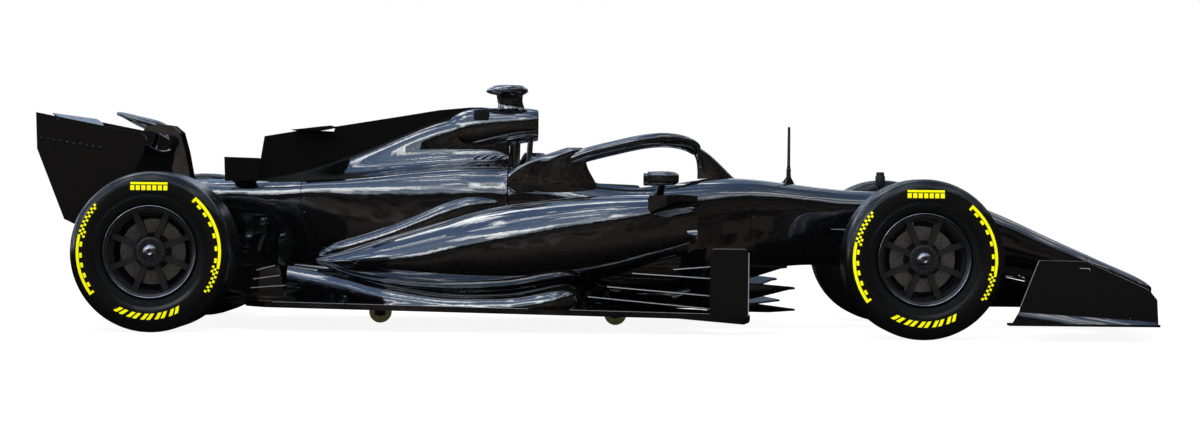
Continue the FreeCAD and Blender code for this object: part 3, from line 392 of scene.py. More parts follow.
def on_wall(wheel, across, up):
    """The point of the tyre's wall at a place measured from the axle."""
    axle = wheel["axle"]
    return from_side(wheel["tyre"], wheel["side"], axle.x + across, axle.z + up, 0.0004)


def polar_patch(heap, wheel, angles, radii, slant=0.0):
    """Lays one patch on the tyre wall, with its outer edge turned by the slant."""
    rows = []
    for degrees in steps_between(*angles, max(2, int(abs(angles[1] - angles[0]) / 2.5) + 1)):
        row = []
        for radius, lean in zip(steps_between(*radii, 2), (-0.5, 0, 0.5)):
            angle = math.radians(degrees + slant * lean)
            row.append(on_wall(wheel, radius * math.cos(angle), radius * math.sin(angle)))
        rows.append(row)
    heap.sheet(rows)


def chequers(heap, wheel, start, end):
    """A chequered tail that gets narrower from start to end."""
    width = math.degrees(CHEQUER / BAND[0])
    count = int(abs(end - start) / width)
    way = 1 if end > start else -1
    for i in range(count):
        for j in range(3 if i < count * WIDE_SHARE else 2):
            if (i + j) % 2 == 0:
                outer = BAND[1] - j * CHEQUER
                begin = start + way * i * width
                polar_patch(heap, wheel, (begin, begin + way * width), (outer - CHEQUER, outer))


def level_bar(heap, wheel, left, right, heights):
    """A level bar on the tyre wall."""
    levels = steps_between(*heights, 2)
    heap.sheet([[on_wall(wheel, x, z) for z in levels] for x in steps_between(left, right, 6)])


for wheel in WHEELS:
    marks = Heap()
    for band, tail in ((LEFT_BAND, LEFT_TAIL), (RIGHT_BAND, RIGHT_TAIL)):
        polar_patch(marks, wheel, band, BAND)
        polar_patch(marks, wheel, (band[1] - HOOK, band[1]), BAND_HOOK)
        chequers(marks, wheel, band[0], tail)
    for dash in DASHES:
        polar_patch(marks, wheel, (dash - DASH_HALF, dash + DASH_HALF), DASH)
    level_bar(marks, wheel, -BAR_HALF, BAR_HALF, BAR)
    for k in range(TEETH):
        left = -BAR_HALF + TOOTH_PITCH * k
        level_bar(marks, wheel, left, left + TOOTH, TOOTH_LEVELS)
    for k in range(STROKE_PAIRS):
        for off in (-STROKE_OFF, STROKE_OFF):
            middle = BOTTOM + (k - (STROKE_PAIRS - 1) / 2) * STROKE_PITCH + off
            polar_patch(marks, wheel, (middle - STROKE_HALF, middle + STROKE_HALF), STROKES, SLANT)
    marks.piece("marks_" + wheel["name"], marking, wheel["body"], "tyre")
print("marks on", len(WHEELS), "tyres")

# %% [markdown]
# ### Wall rings
# What is round about the axle is turned, as on a lathe: a profile of (radius, distance out) goes
# once around. The screw modifier can do this, but a row of points for each angle is as short.


# %% A turned form
def turned(heap, centre, profile, side, steps=64):
    """Turns a profile of (radius, distance outwards) about a line along the car's width."""
    start = len(heap.points)
    n = len(profile)
    for angle in turns(steps):
        for radius, out in profile:
            heap.points.append(on_circle(centre, radius, angle) + Vector((0, side * out, 0)))
    for i in range(steps):
        for j in range(n - 1):
            a = start + i * n + j
            b = start + (i + 1) % steps * n + j
            heap.faces.append([a, b, b + 1, a + 1] if side < 0 else [a, a + 1, b + 1, b])


# %% [markdown]
# A real tyre wall has fine raised rings from its mould, and sinks into a hollow beside the rim.
# A dull sheet in the hollow is darker than the rubber: its darkness is painted shade. The rings
# and the hollow are turned from a profile that is read off the rubber itself, so they follow its
# curve. A ring is given by its radius, half its width and its height.

# %% Rings and the hollow's painted shade
RINGS = ((0.2315, 0.0022, 0.0010), (0.2385, 0.0012, 0.0006), (0.3165, 0.0014, 0.0005))
HOLLOW_RADII = [0.2275 - 0.0045 * i for i in range(7)]


def wall_out(wheel, radius):
    """How far the tyre's wall lies from the car's middle at a radius."""
    return abs(on_wall(wheel, 0, radius).y)


for wheel in WHEELS:
    rings = Heap()
    hollow = Heap()
    for middle, half, rise in RINGS:
        top = wall_out(wheel, middle) + rise
        profile = [(middle + half, wall_out(wheel, middle + half) - 0.001), (middle + half / 2, top),
                   (middle - half / 2, top), (middle - half, wall_out(wheel, middle - half) - 0.001)]
        turned(rings, wheel["axle"], profile, wheel["side"], steps=96)
    # A darker sheet in the hollow, as painted shade.
    profile = [(radius, wall_out(wheel, radius) + 0.0002) for radius in HOLLOW_RADII]
    turned(hollow, wheel["axle"], profile, wheel["side"], steps=96)
    rings.piece("wall_rings_" + wheel["name"], FINISHES["tyre"], wheel["body"], "tyre", True)
    hollow.piece("wall_hollow_shade_" + wheel["name"], hollow_shade_rubber, wheel["body"], "tyre", True)
print(len(RINGS), "rings on each wall")

# %% [markdown]
# ### Rim lip, nut and bolts
# A bolt's head, a button and a lens are all low domes that stand on a surface, so they share one
# form. Its rings get narrower as they rise.


# %% A domed head
def stud(heap, spot, normal, radius, height, sides=10):
    """A low domed head that stands on a surface."""
    normal = normal.normalized()
    first = normal.orthogonal().normalized()
    second = normal.cross(first)
    rings = []
    for share, rise in ((1.0, -0.3), (1.0, 0.45), (0.7, 0.9), (0.25, 1.0)):
        ring = []
        for turn in turns(sides):
            out = (first * math.cos(turn) + second * math.sin(turn)) * radius * share
            ring.append(spot + out + normal * height * rise)
        rings.append(ring)
    heap.tube(rings)


# %% [markdown]
# The turned lip is the one bright ring on the wheel. The nut is a dome that a wheel gun finds by
# itself, and a ring of small bolts holds the hub's cover. All are turned profiles, given as
# (radius, distance out from the nut's face).

# %% Lip, nut, hub cover and bolts
LIP = [(0.1958, -0.002), (0.1958, 0.0015), (0.1940, 0.0042), (0.1910, 0.0050), (0.1880, 0.0036),
       (0.1862, 0.0005), (0.1850, -0.010)]
NUT = [(0.0334, -0.028), (0.0334, -0.0145), (0.0315, -0.0095), (0.0270, -0.0045), (0.0205, -0.0010),
       (0.0140, 0.0008), (0.0105, 0.0012), (0.0095, 0.0002), (0.0001, 0.0002)]
HUB_COVER = [(0.0625, -0.0300), (0.0625, -0.0255), (0.0600, -0.0238), (0.0460, -0.0238),
             (0.0400, -0.0250), (0.0360, -0.0255)]
TURNED = (("lip_", LIP, 96, lip_polish, "rim_metal"), ("nut_", NUT, 32, nut_alloy, "aluminium"),
          ("hub_cover_", HUB_COVER, 48, FINISHES["rim_metal"], "rim_metal"))
BOLTS, BOLT_CIRCLE, BOLT_SUNK = 16, 0.053, 0.0238
BOLT_RADIUS, BOLT_RISE = 0.0028, 0.0022
for wheel in WHEELS:
    side = wheel["side"]
    for kind, profile, steps, material, slot in TURNED:
        heap = Heap()
        turned(heap, wheel["nut"], profile, side, steps)
        heap.piece(kind + wheel["name"], material, wheel["body"], slot, True)
    bolts = Heap()
    for turn in turns(BOLTS):
        spot = on_circle(wheel["nut"], BOLT_CIRCLE, turn + math.pi / BOLTS) - Vector((0, side * BOLT_SUNK, 0))
        stud(bolts, spot, Vector((0, side, 0)), BOLT_RADIUS, BOLT_RISE, sides=8)
    bolts.piece("bolts_" + wheel["name"], bolt_head, wheel["body"], "steel", True)
print(BOLTS, "bolts on each hub")

# %% [markdown]
# ### Brake faces
# Behind the spokes the eye finds the brake's dusty grey-brown face, cut up by dark slots. It is a
# ring just in front of the CAD disc, in eight sectors, with small holes as dark studs. Where the
# disc lies is measured by rays between the spokes.

# %% Brake faces
FACE_RADII = (0.080, 0.098, 0.112, 0.126, 0.137)
HOLE_RADII = (0.092, 0.106, 0.120, 0.131)
DISC_SECTORS = 8
DISC_PROBE = 0.11
FACE_GAP = 0.002
HOLE_RADIUS, HOLE_RISE = 0.0030, 0.0008
for wheel in WHEELS:
    side = wheel["side"]
    tries = [on_circle(wheel["axle"], DISC_PROBE, turn) for turn in turns(2 * DISC_SECTORS)]
    depth = min(abs(from_side(wheel["rim"], side, spot.x, spot.z, 0).y) for spot in tries) + FACE_GAP
    disc = wheel["axle"] + Vector((0, side * depth, 0))
    dust, holes = Heap(), Heap()
    for sector in turns(DISC_SECTORS):
        angles = [sector + math.radians(lean) for lean in steps_between(-17, 17, 6)]
        dust.sheet([[on_circle(disc, radius, angle) for radius in FACE_RADII] for angle in angles])
        for i, radius in enumerate(HOLE_RADII):
            spot = on_circle(disc, radius, sector + math.radians(-9 + 6 * i))
            stud(holes, spot, Vector((0, side, 0)), HOLE_RADIUS, HOLE_RISE, sides=8)
    dust.piece("brake_face_" + wheel["name"], brake_dust, wheel["body"], "steel")
    holes.piece("brake_holes_" + wheel["name"], shadow_gap, wheel["body"], "steel")
print("brake face at y", round(depth, 3))

# %% [markdown]
# A duct brings cool air to the brake and closes the wheel's back, so that no daylight shows between
# the spokes. It is a thin ring behind the disc with a rolled edge. In front it is carried by the
# steered upright and stays open above and below, where the suspension arms come in.

# %% Brake ducts
DUCT_RADII = (0.1200, 0.1320, 0.1440, 0.1555)
DUCT_THICK = 0.0035
DUCT_EDGE = 0.030
STEERED_DUCT = (0.7905, ((-62, 62), (118, 242)))
FIXED_DUCT = (0.7850, ((0, 180), (180, 360)))
for wheel in WHEELS:
    out, sectors = STEERED_DUCT if wheel["steered"] else FIXED_DUCT
    face, back = (wheel["axle"] + Vector((0, wheel["side"] * y, 0)) for y in (out, out - DUCT_THICK))
    push = Vector((0, wheel["side"] * DUCT_EDGE, 0))
    duct = Heap()
    for start, end in sectors:
        rings, rolled = [], []
        for degrees in steps_between(start, end, 28):
            turn = math.radians(degrees)
            ring = [on_circle(face, radius, turn) for radius in DUCT_RADII]
            inner, outer = ring[3].lerp(ring[2], 0.35), ring[3]
            rolled.append([inner, outer, outer + push, inner + push])
            rings.append(ring + [on_circle(back, radius, turn) for radius in reversed(DUCT_RADII)])
        duct.tube(rings)
        duct.tube(rolled)
    body = "knuckle_" + wheel["hand"] if wheel["steered"] else "chassis"
    duct.piece("brake_duct_" + wheel["name"], bare_carbon, body, "carbon_matt")
print("ducts from", DUCT_RADII[0], "to", DUCT_RADII[-1], "m")

# %% [markdown]
# ### Transport rollers
# The two yellow rollers under the plank turn on black hubs. Each hub is a stepped disc on both
# sides of its roller, as (radius, distance out from the roller's face).

# %% Roller hubs
HUB = [(0.0205, -0.002), (0.0205, 0.0006), (0.0180, 0.0012), (0.0105, 0.0012), (0.0090, 0.0004),
       (0.0086, -0.002)]
for name in ("roller_front", "roller_rear"):
    low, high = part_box(name)
    hub = Heap()
    for side in SIDES:
        turned(hub, Vector(((low.x + high.x) / 2, side * high.y, (low.z + high.z) / 2)), HUB, side, steps=40)
    hub.piece(name + "_hub", FINISHES["grip"], name, "roller", True)
print("rollers", round(high.z - low.z, 3), "m across")

# %% [markdown]
# ## Painted edge highlights
# A square bar between two points is the simplest of all forms. Its sides follow the ground where
# they can, so that a row of bars looks even.


# %% A square bar
def bar(heap, a, b, width, height):
    """A square bar from a to b."""
    a, b = Vector(a), Vector(b)
    along = (b - a).normalized()
    side = along.cross(Vector((0, 0, 1)))
    side = side.normalized() if side.length > 0.01 else Vector((1, 0, 0))
    up = side.cross(along).normalized()
    corners = ((-1, -1), (1, -1), (1, 1), (-1, 1))
    heap.tube([[end + side * u * width / 2 + up * v * height / 2 for u, v in corners] for end in (a, b)])


# %% [markdown]
# Cut carbon edges catch the light as thin pale lines: on the slats, the deflector plates, the
# floor's rim and the front wing's end plates. A bevel with its own finish could show them, but the
# CAD meshes stay as they are. So each is a fine pale grey bar that is set on the real edge: a
# painted highlight.

# %% Painted edge highlights
SLATS = (((0.249, 0.272), (0.448, 0.289)), ((0.075, 0.260), (0.448, 0.239)),
         ((-0.031, 0.203), (0.448, 0.165)), ((-0.112, 0.160), (0.448, 0.110)))
SLAT_TIP = 0.688
SLAT_HIDDEN, SLAT_LIFT = 0.04, 0.002
PLATE_EDGE = [(0.4445, 0.352), (0.4565, 0.3665), (0.5925, 0.3665), (0.6045, 0.352), (0.6045, 0.085)]
PLATE_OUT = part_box("bargeboards")[1].y - 0.0042
WING_PLATE_EDGE = [(1.722, 0.140), (1.800, 0.3375), (1.996, 0.3355), (2.2575, 0.2190)]
WING_PLATE_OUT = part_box("front_endplates")[1].y - 0.0185
WING_BRACKET = [(1.968, 0.3075), (2.008, 0.3065), (2.010, 0.2985)]
lines = Heap()


def edge_line(path, out, width, height):
    """Bars along (x, z) places on both sides of the car, at a distance out from its middle."""
    for side in SIDES:
        for (x0, z0), (x1, z1) in zip(path, path[1:]):
            bar(lines, (x0, side * out, z0), (x1, side * out, z1), width, height)


for (x0, z0), (x1, z1) in SLATS:
    z_start = z0 + (z1 - z0) * SLAT_HIDDEN / (x1 - x0)
    upper_edge = [(x0 + SLAT_HIDDEN, z_start + SLAT_LIFT), (x1, z1 + SLAT_LIFT)]
    edge_line(upper_edge, SLAT_TIP, width=0.0060, height=0.0030)
edge_line(PLATE_EDGE[:4], PLATE_OUT, width=0.0080, height=0.0028)
edge_line(PLATE_EDGE[3:], PLATE_OUT, width=0.0080, height=0.0014)
edge_line(WING_PLATE_EDGE, WING_PLATE_OUT, width=0.0086, height=0.0020)
edge_line(WING_BRACKET, WING_PLATE_OUT + 0.0047, width=0.0014, height=0.0022)
lines.piece("painted_edge_highlights", edge, "chassis", "carbon_matt")

# The floor's rim gets a pale bar too, a painted highlight along its top edge.
floor_skin = skin_of("floor")
floor_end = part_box("floor")[1]
rim_front = floor_end.x - 0.031
RIM_LENGTH = 1.99
rim_line = Heap()
for side in SIDES:
    spots = [meets(floor_skin, (x, side * (floor_end.y - 0.0015), 0.4), (0, 0, -1), 0.0004)
             for x in steps_between(rim_front, rim_front - RIM_LENGTH, 40)]
    spots = [spot for spot in spots if spot is not None]
    for a, b in zip(spots, spots[1:]):
        bar(rim_line, a, b, width=0.0030, height=0.0012)
rim_line.piece("floor_rim_highlight", edge, "chassis", "carbon_gloss")
print("bare edges", len(lines.faces) + len(rim_line.faces), "faces")

# %% [markdown]
# ## Wing plate foot
# The front wing's end plate rolls outwards into a lacquered foot that mirrors the sky. The CAD
# plate has the rolled foot, and a thin lacquered skin with a slight bulge covers it, between a line
# along its top and one along its outer edge.

# %% Lacquered foot of the wing plate
FOOT_TOP = (Vector((1.722, 0.9312, 0.1318)), Vector((2.284, 0.9312, 0.0898)))
FOOT_EDGE = (Vector((1.690, 0.9482, 0.0752)), Vector((2.290, 0.9482, 0.0752)))
for side, hand in HANDS.items():
    foot = Heap()
    rows = []
    for share in steps_between(0, 1, 24):
        top, bottom = FOOT_TOP[0].lerp(FOOT_TOP[1], share), FOOT_EDGE[0].lerp(FOOT_EDGE[1], share)
        row = []
        for drop in steps_between(0, 1, 6):
            spot = top.lerp(bottom, drop)
            out = spot.y + 0.0004 + 0.0012 * math.sin(math.pi * drop)
            row.append(Vector((spot.x, side * out, spot.z)))
        rows.append(row)
    foot.sheet(rows)
    foot.piece("wing_plate_foot_" + hand, lacquer, "chassis", "carbon_gloss", True)
print("foot", round((FOOT_EDGE[1] - FOOT_EDGE[0]).length, 3), "m long")

# %% [markdown]
# ## Winglets ahead of the rear wheel
# Between the sidepod's tail and the rear wheel the photograph shows thin plates, one over the
# other, with bright edges. A pale bar along each plate's edge paints that highlight. They hang on a
# small fence that stands on the floor. Each plate is a thin wing section that runs outwards, and
# its front edge is swept back a little.

# %% Rear winglets
WINGLET_Y = (0.380, 0.545)
WINGLETS = ((-1.525, -1.350, 0.176, 0.190), (-1.515, -1.375, 0.214, 0.233), (-1.500, -1.395, 0.252, 0.276))
WINGLET_SWEEP = 0.018
WINGLET_HALF = 0.0032
FENCE_Y = (0.4560, 0.4600)
FENCE = [(-1.500, 0.1295), (-1.385, 0.1295), (-1.410, 0.272), (-1.492, 0.262)]
for side, hand in HANDS.items():
    plates, trims = Heap(), Heap()
    for back, front, z_back, z_front in WINGLETS:
        rings = []
        for y, sweep in zip(steps_between(*WINGLET_Y, 4), steps_between(0, WINGLET_SWEEP, 4)):
            ring = []
            for turn in turns(12):
                share = 0.5 + 0.5 * math.cos(turn)
                bulge = WINGLET_HALF * math.sin(turn) * (0.5 + share)
                z = z_back + (z_front - z_back) * share ** 1.6 + bulge
                ring.append(Vector((back + (front - sweep - back) * share, side * y, z)))
            rings.append(ring)
        plates.tube(rings)
        # A pale bar on each plate's edge is a painted highlight.
        y = side * (WINGLET_Y[1] + 0.0008)
        start, end = (back + 0.004, y, z_back + 0.0008), (front - 0.022, y, z_front - 0.002)
        bar(trims, start, end, width=0.0016, height=0.0026)
    plates.tube([[Vector((x, side * y, z)) for x, z in FENCE] for y in FENCE_Y])
    plates.piece("rear_winglets_" + hand, lacquer, "chassis", "carbon_gloss")
    trims.piece("rear_winglet_edges_" + hand, edge, "chassis", "carbon_gloss")
print(len(WINGLETS), "winglets on each side")

# %% [markdown]
# The suspension arms end in forked metal brackets on the car's flank, each held by a bolt. A fork
# is two short bars that stand on the flank where a ray meets it. Each is given as (x, z, length).

# %% Suspension brackets
FORKS = ((-1.515, 0.455, 0.034), (-1.430, 0.385, 0.026), (-1.600, 0.330, 0.030))
FORK_GAP, FORK_WIDTH, FORK_THICK = 0.020, 0.020, 0.0050
UP = Vector((0, 0, 1))
forks = Heap()
flank = skin_of("engine_cover", "gearbox")
for side in SIDES:
    for x, z, long in FORKS:
        place, normal = spot_of(flank, (x, side * 0.5, z), (0, -side, 0))
        if place is None:
            continue
        for rise in (-FORK_GAP / 2, FORK_GAP / 2):
            root = place + UP * rise - normal * 0.002
            bar(forks, root, root + normal * long, FORK_WIDTH, FORK_THICK)
        stud(forks, place + normal * long * 0.7 + UP * 0.0125, UP, radius=0.0060, height=0.0050, sides=6)
forks.piece("suspension_brackets", nut_alloy, "chassis", "aluminium")
print(len(forks.faces), "bracket faces")

# %% [markdown]
# ## Seams and fasteners
# The body comes apart in panels. A dark line a few millimetres wide, laid on the panel by rays,
# reads as the gap between two panels. A boolean cut would be a real gap, but the CAD meshes stay.


# %% A line on a panel
def ribbon(heap, skin, side, path, width, steps=12):
    """A thin line on a panel, through (x, z) points as seen from one side."""
    spots = []
    for (x0, z0), (x1, z1) in zip(path, path[1:]):
        spots.extend(list(zip(steps_between(x0, x1, steps), steps_between(z0, z1, steps)))[:-1])
    spots.append(path[-1])
    rows = []
    for i, (x, z) in enumerate(spots):
        x0, z0 = spots[max(i - 1, 0)]
        x1, z1 = spots[min(i + 1, len(spots) - 1)]
        long = math.hypot(x1 - x0, z1 - z0)
        off_x, off_z = -(z1 - z0) / long * width / 2, (x1 - x0) / long * width / 2
        rows.append([from_side(skin, side, x + off_x * u, z + off_z * u) for u in (-1, 0, 1)])
    heap.sheet(rows)


# %% [markdown]
# Each seam is a path of (x, z) places as seen from the side.

# %% Panel seams
SEAM_WIDTH = 0.0032
SEAMS = {
    "engine_cover": [
        [(-1.325, 0.690), (-1.353, 0.625), (-1.353, 0.560), (-1.347, 0.500), (-1.328, 0.430),
         (-1.312, 0.375)],
        [(-1.600, 0.600), (-1.352, 0.612)],
    ],
    "survival_cell": [[(0.640, 0.640), (0.640, 0.360)], [(0.90, 0.330), (1.54, 0.338)]],
    "nose_cone": [[(1.567, 0.560), (1.567, 0.310)], [(2.150, 0.345), (2.164, 0.225)]],
    "rear_endplates": [[(-2.4430, 0.806), (-2.155, 0.7615)]],
    "shark_fin": [[(-1.225, 0.86), (-1.225, 0.70)], [(-0.75, 0.955), (-0.75, 0.87)]],
}
for name, paths in SEAMS.items():
    skin = skin_of(name)
    seam = Heap()
    for side in SIDES:
        for path in paths:
            ribbon(seam, skin, side, path, SEAM_WIDTH)
    seam.piece("seam_" + name, shadow_gap, "chassis", SLOT[name])
print("seams on", len(SEAMS), "parts")

# %% [markdown]
# Fasteners follow the seams. Their small round heads stand on the panel's own normal, so they look
# right from any side.


# %% Fasteners
def column(x, heights):
    """Places one over the other."""
    return [(x, z) for z in heights]


HEAD_RADIUS, HEAD_RISE = 0.0034, 0.0010
HEADS = {
    "engine_cover": [(-1.335, 0.50)] + column(-1.337, (0.56, 0.62)) + column(-0.452, (0.60, 0.66, 0.70)),
    "survival_cell": column(1.540, (0.34, 0.44, 0.54)) + column(0.655, (0.40, 0.50, 0.60)),
    "nose_cone": column(1.585, (0.34, 0.44, 0.54)),
    "rear_endplates": [(-2.43 + 0.0278 * k, 0.812 - 0.0043 * k) for k in range(10)],
    "sidepods": [(-0.30, 0.20), (-0.10, 0.235), (0.10, 0.285), (-0.60, 0.175), (-0.85, 0.19)],
    "front_endplates": [(x, 0.10) for x in (1.86, 2.02, 2.18)],
}
for name, spots in HEADS.items():
    skin = skin_of(name)
    heads = Heap()
    for side in SIDES:
        for x, z in spots:
            place, normal = spot_of(skin, (x, side * FAR, z), (0, -side, 0))
            if place is not None:
                stud(heads, place, normal, HEAD_RADIUS, HEAD_RISE)
    heads.piece("fasteners_" + name, bolt_head, "chassis", "steel", True)
print("fasteners on", len(HEADS), "parts")

# %% [markdown]
# ## Vents and windows
# Under the intake the engine cover has a row of cooling slots, and its side has a small dark
# window. Cut openings would have to go into the CAD mesh. A dark patch on the panel, with a thin
# raised lip over it, reads the same from outside. The dark patch is painted shade, and the lip's
# pale grey is a painted highlight.

# %% Cooling slots and window
SLOTS, SLOT_PITCH, SLOT_START = 5, 0.036, -0.590
SLOT_WIDTH, SLOT_LIP = 0.0085, 0.0022
WINDOW_X, WINDOW_Z = -0.5585, 0.944
WINDOW_HALF = (0.036, 0.027)
cover_skin = skin_of("engine_cover")
slots, lips, window = Heap(), Heap(), Heap()
for side in SIDES:
    for k in range(SLOTS):
        x = SLOT_START + SLOT_PITCH * k
        ribbon(slots, cover_skin, side, [(x, 0.7430), (x + 0.026, 0.7570)], SLOT_WIDTH, steps=4)
        ribbon(lips, cover_skin, side, [(x - 0.002, 0.7490), (x + 0.024, 0.7630)], SLOT_LIP, steps=4)
    rows = []
    for turn in steps_between(0, math.pi, 12):
        half = WINDOW_HALF[1] * min(1, 1.5 * math.sin(turn) + 0.25)
        x = WINDOW_X - WINDOW_HALF[0] * math.cos(turn)
        levels = steps_between(WINDOW_Z - half, WINDOW_Z + half, 6)
        rows.append([from_side(cover_skin, side, x, z, 0.0008) for z in levels])
    window.sheet(rows)
slots.piece("cooling_slots", shadow_gap, "chassis", "carbon_gloss")
lips.piece("cooling_slot_lip_highlights", edge, "chassis", "carbon_gloss")
window.piece("intake_window", shadow_gap, "chassis", "carbon_gloss")
print(SLOTS, "slots on each side")

# %% [markdown]
# ### Intake lip
# The round intake over the driver's head ends in a rolled lip. It is a small round section that is
# swept around a superellipse, the curve between a circle and a box.


# %% Intake lip
def rounded_ring(x, half_y, low, high, power, steps):
    """Points around a superellipse at a place along the car."""
    ring = []
    for turn in turns(steps):
        c, s = math.cos(turn), math.sin(turn)
        y = half_y * math.copysign(abs(c) ** (2 / power), c)
        z = (low + high) / 2 + (high - low) / 2 * math.copysign(abs(s) ** (2 / power), s)
        ring.append(Vector((x, y, z)))
    return ring


INTAKE_LOW, INTAKE_HIGH, INTAKE_HALF = 0.8350, 0.9620, 0.0860
ROLL = 0.0042
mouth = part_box("engine_cover")[1].x - 0.0025
centre = Vector((mouth, 0, (INTAKE_LOW + INTAKE_HIGH) / 2))
intake = Heap()
rolls = []
for spot in rounded_ring(mouth, INTAKE_HALF, INTAKE_LOW, INTAKE_HIGH, power=2.6, steps=72):
    out = (spot - centre).normalized()
    rolls.append([spot + (out * math.cos(t) + Vector((math.sin(t), 0, 0))) * ROLL for t in turns(10)])
intake.tube(rolls, closed=True)
intake.piece("intake_lip", lacquer, "chassis", "carbon_gloss", True)
print("intake at x", round(mouth, 3))

# %% [markdown]
# ### Aerial sleeve
# The aerial on the nose is a thin rod in a stepped rubber sleeve, and the air speed probe ahead of it
# has a stubby collar. Both are stacks of level rings, given as (height, radius).

# %% Aerial sleeve and probe collar
AERIAL_X = 0.822
PROBE_X = 1.234
rod_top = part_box("antenna")[1].z
SLEEVE = [(0.660, 0.0150), (0.680, 0.0108), (0.700, 0.0098), (0.704, 0.0104), (0.714, 0.0104),
          (0.718, 0.0072), (rod_top - 0.006, 0.0060), (rod_top - 0.001, 0.0040)]
COLLAR = [(0.640, 0.0190), (0.646, 0.0222), (0.684, 0.0222), (0.690, 0.0174), (0.696, 0.0178),
          (0.7025, 0.0178), (0.7040, 0.0150)]
sleeve = Heap()
for x, stack in ((AERIAL_X, SLEEVE), (PROBE_X, COLLAR)):
    sleeve.tube([[Vector((x + r * math.cos(t), r * math.sin(t), z)) for t in turns(20)] for z, r in stack])
sleeve.piece("aerial_sleeve", FINISHES["grip"], "chassis", "carbon_gloss", True)
print("aerial sleeve up to", round(rod_top - 0.001, 3))

# %% [markdown]
# ### Mirrors, lenses and the tail light
# Glass is what makes small housings believable: a mirror facing the driver, lenses in the camera
# housing and a ribbed red lamp on the crash structure. The mirror's glass is a thin plate with
# round corners on the back of its housing.

# %% Mirror glass
MIRROR_Y = 0.548
MIRROR_HALF, MIRROR_LOW, MIRROR_HIGH = 0.068, 0.6385, 0.6880
glass = Heap()
mirror_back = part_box("mirrors")[0].x - 0.0004
for side in SIDES:
    away = Vector((0, side * MIRROR_Y, 0))
    rings = [rounded_ring(x, MIRROR_HALF, MIRROR_LOW, MIRROR_HIGH, power=4.0, steps=48)
             for x in (mirror_back, mirror_back - 0.0006)]
    glass.tube([[spot + away for spot in ring] for ring in rings])
glass.piece("mirror_glasses", mirror_glass, "chassis", "carbon_gloss")
print("mirrors at x", round(mirror_back, 3))

# %% [markdown]
# A lens is a low dark dome in a rubber bezel. Both are studs that stand on the housing's face.

# %% Camera lenses
LENSES_Y, LENSES_Z = (-0.072, 0, 0.072), 1.054
BEZEL_RADIUS, LENS_RADIUS = 0.0120, 0.0085
pod_skin = skin_of("camera_pod")
lenses, bezels = Heap(), Heap()
for y in LENSES_Y:
    place, normal = spot_of(pod_skin, (0, y, LENSES_Z), (-1, 0, 0))
    stud(bezels, place, normal, BEZEL_RADIUS, height=0.0018, sides=24)
    stud(lenses, place + normal * 0.0010, normal, LENS_RADIUS, height=0.0022, sides=24)
bezels.piece("camera_bezels", FINISHES["grip"], "chassis", "carbon_gloss", True)
lenses.piece("camera_lenses", dark_glass, "chassis", "carbon_gloss", True)
print(len(LENSES_Y), "lenses")

# %% [markdown]
# The lamp is a rounded block whose face is set in a little at its edge, with dark upright ribs.

# %% Tail light
LAMP_LOW, LAMP_HIGH, LAMP_HALF = 0.3200, 0.3680, 0.040
LAMP_STEPS = ((-0.001, 0), (0.003, 0), (0.0045, 0.002))
RIBS, RIB_PITCH, RIB_OUT, RIB_SHORT = 9, 0.008, 0.0048, 0.005
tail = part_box("gearbox")[0].x
lamp, ribs = Heap(), Heap()
lamp.tube([rounded_ring(tail - out, LAMP_HALF - cut, LAMP_LOW + cut, LAMP_HIGH - cut, power=5.0, steps=40)
           for out, cut in LAMP_STEPS])
for k in range(RIBS):
    y = RIB_PITCH * (k - (RIBS - 1) / 2)
    ends = [(tail - RIB_OUT, y, z) for z in (LAMP_LOW + RIB_SHORT, LAMP_HIGH - RIB_SHORT)]
    bar(ribs, *ends, width=0.0016, height=0.0016)
lamp.piece("tail_lamp", lamp_red, "chassis", "carbon_matt", True)
ribs.piece("tail_lamp_ribs", shadow_gap, "chassis", "carbon_matt")
print("tail lamp at x", round(tail, 3))

# %% [markdown]
# ## Cockpit
# The driver's head is held by a foam surround with a sewn cover. A soft thing has no sharp edges:
# the CAD solid is copied, remeshed into even small faces and smoothed until its corners are round,
# and the copy stands for the solid.

# %% Head surround
FOAM_FACE = 0.006
FOAM_ROUNDS = 12
source = NODES["headrest"].data
rough_foam = bpy.data.meshes.new("head_surround")
corners = [tuple(v.co) for v in source.vertices]
rough_foam.from_pydata(corners, [], [list(p.vertices) for p in source.polygons])
surround = bpy.data.objects.new("head_surround", rough_foam)
scene.collection.objects.link(surround)
remesh = surround.modifiers.new("even_faces", "REMESH")
remesh.mode = "VOXEL"
remesh.voxel_size = FOAM_FACE
smooth = surround.modifiers.new("round_corners", "SMOOTH")
smooth.factor = 0.5
smooth.iterations = FOAM_ROUNDS
solved = bpy.data.meshes.new_from_object(surround.evaluated_get(bpy.context.evaluated_depsgraph_get()))
surround.modifiers.clear()
surround.data = solved
for face in solved.polygons:
    face.use_smooth = True
solved.materials.clear()
solved.materials.append(FINISHES["pad"])
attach(surround, "chassis")
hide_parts("headrest")
print("head surround", len(solved.polygons), "faces")

# %% [markdown]
# Its cover is sewn along the top. The thread is a row of short stitches that are laid on the foam
# by rays from above.

# %% Stitches
STITCHES, STITCH_PITCH, STITCH = 38, 0.0048, 0.0032
SEAM_Y = 0.2045
corners = [v.co.copy() for v in solved.vertices]
foam = BVHTree.FromPolygons(corners, [list(p.vertices) for p in solved.polygons])
stitches = Heap()
for side in SIDES:
    for k in range(STITCHES):
        x = -0.040 + STITCH_PITCH * k
        y = side * (SEAM_Y - 0.03 * max(0, 0.02 - x))
        ends = [meets(foam, (x + along, y, 0.9), (0, 0, -1), 0.0006) for along in (0, STITCH)]
        if None not in ends:
            bar(stitches, *ends, width=0.0016, height=0.0010)
stitches.piece("surround_stitches", piping, "chassis", "pad")
print(len(stitches.faces) // 6, "stitches")

# %% [markdown]
# The seat is a thin shell with two pads. A pad is crowned, with sides that pull in and sewn
# channels across it: its height falls to nothing at the rim and dips a little at each channel.

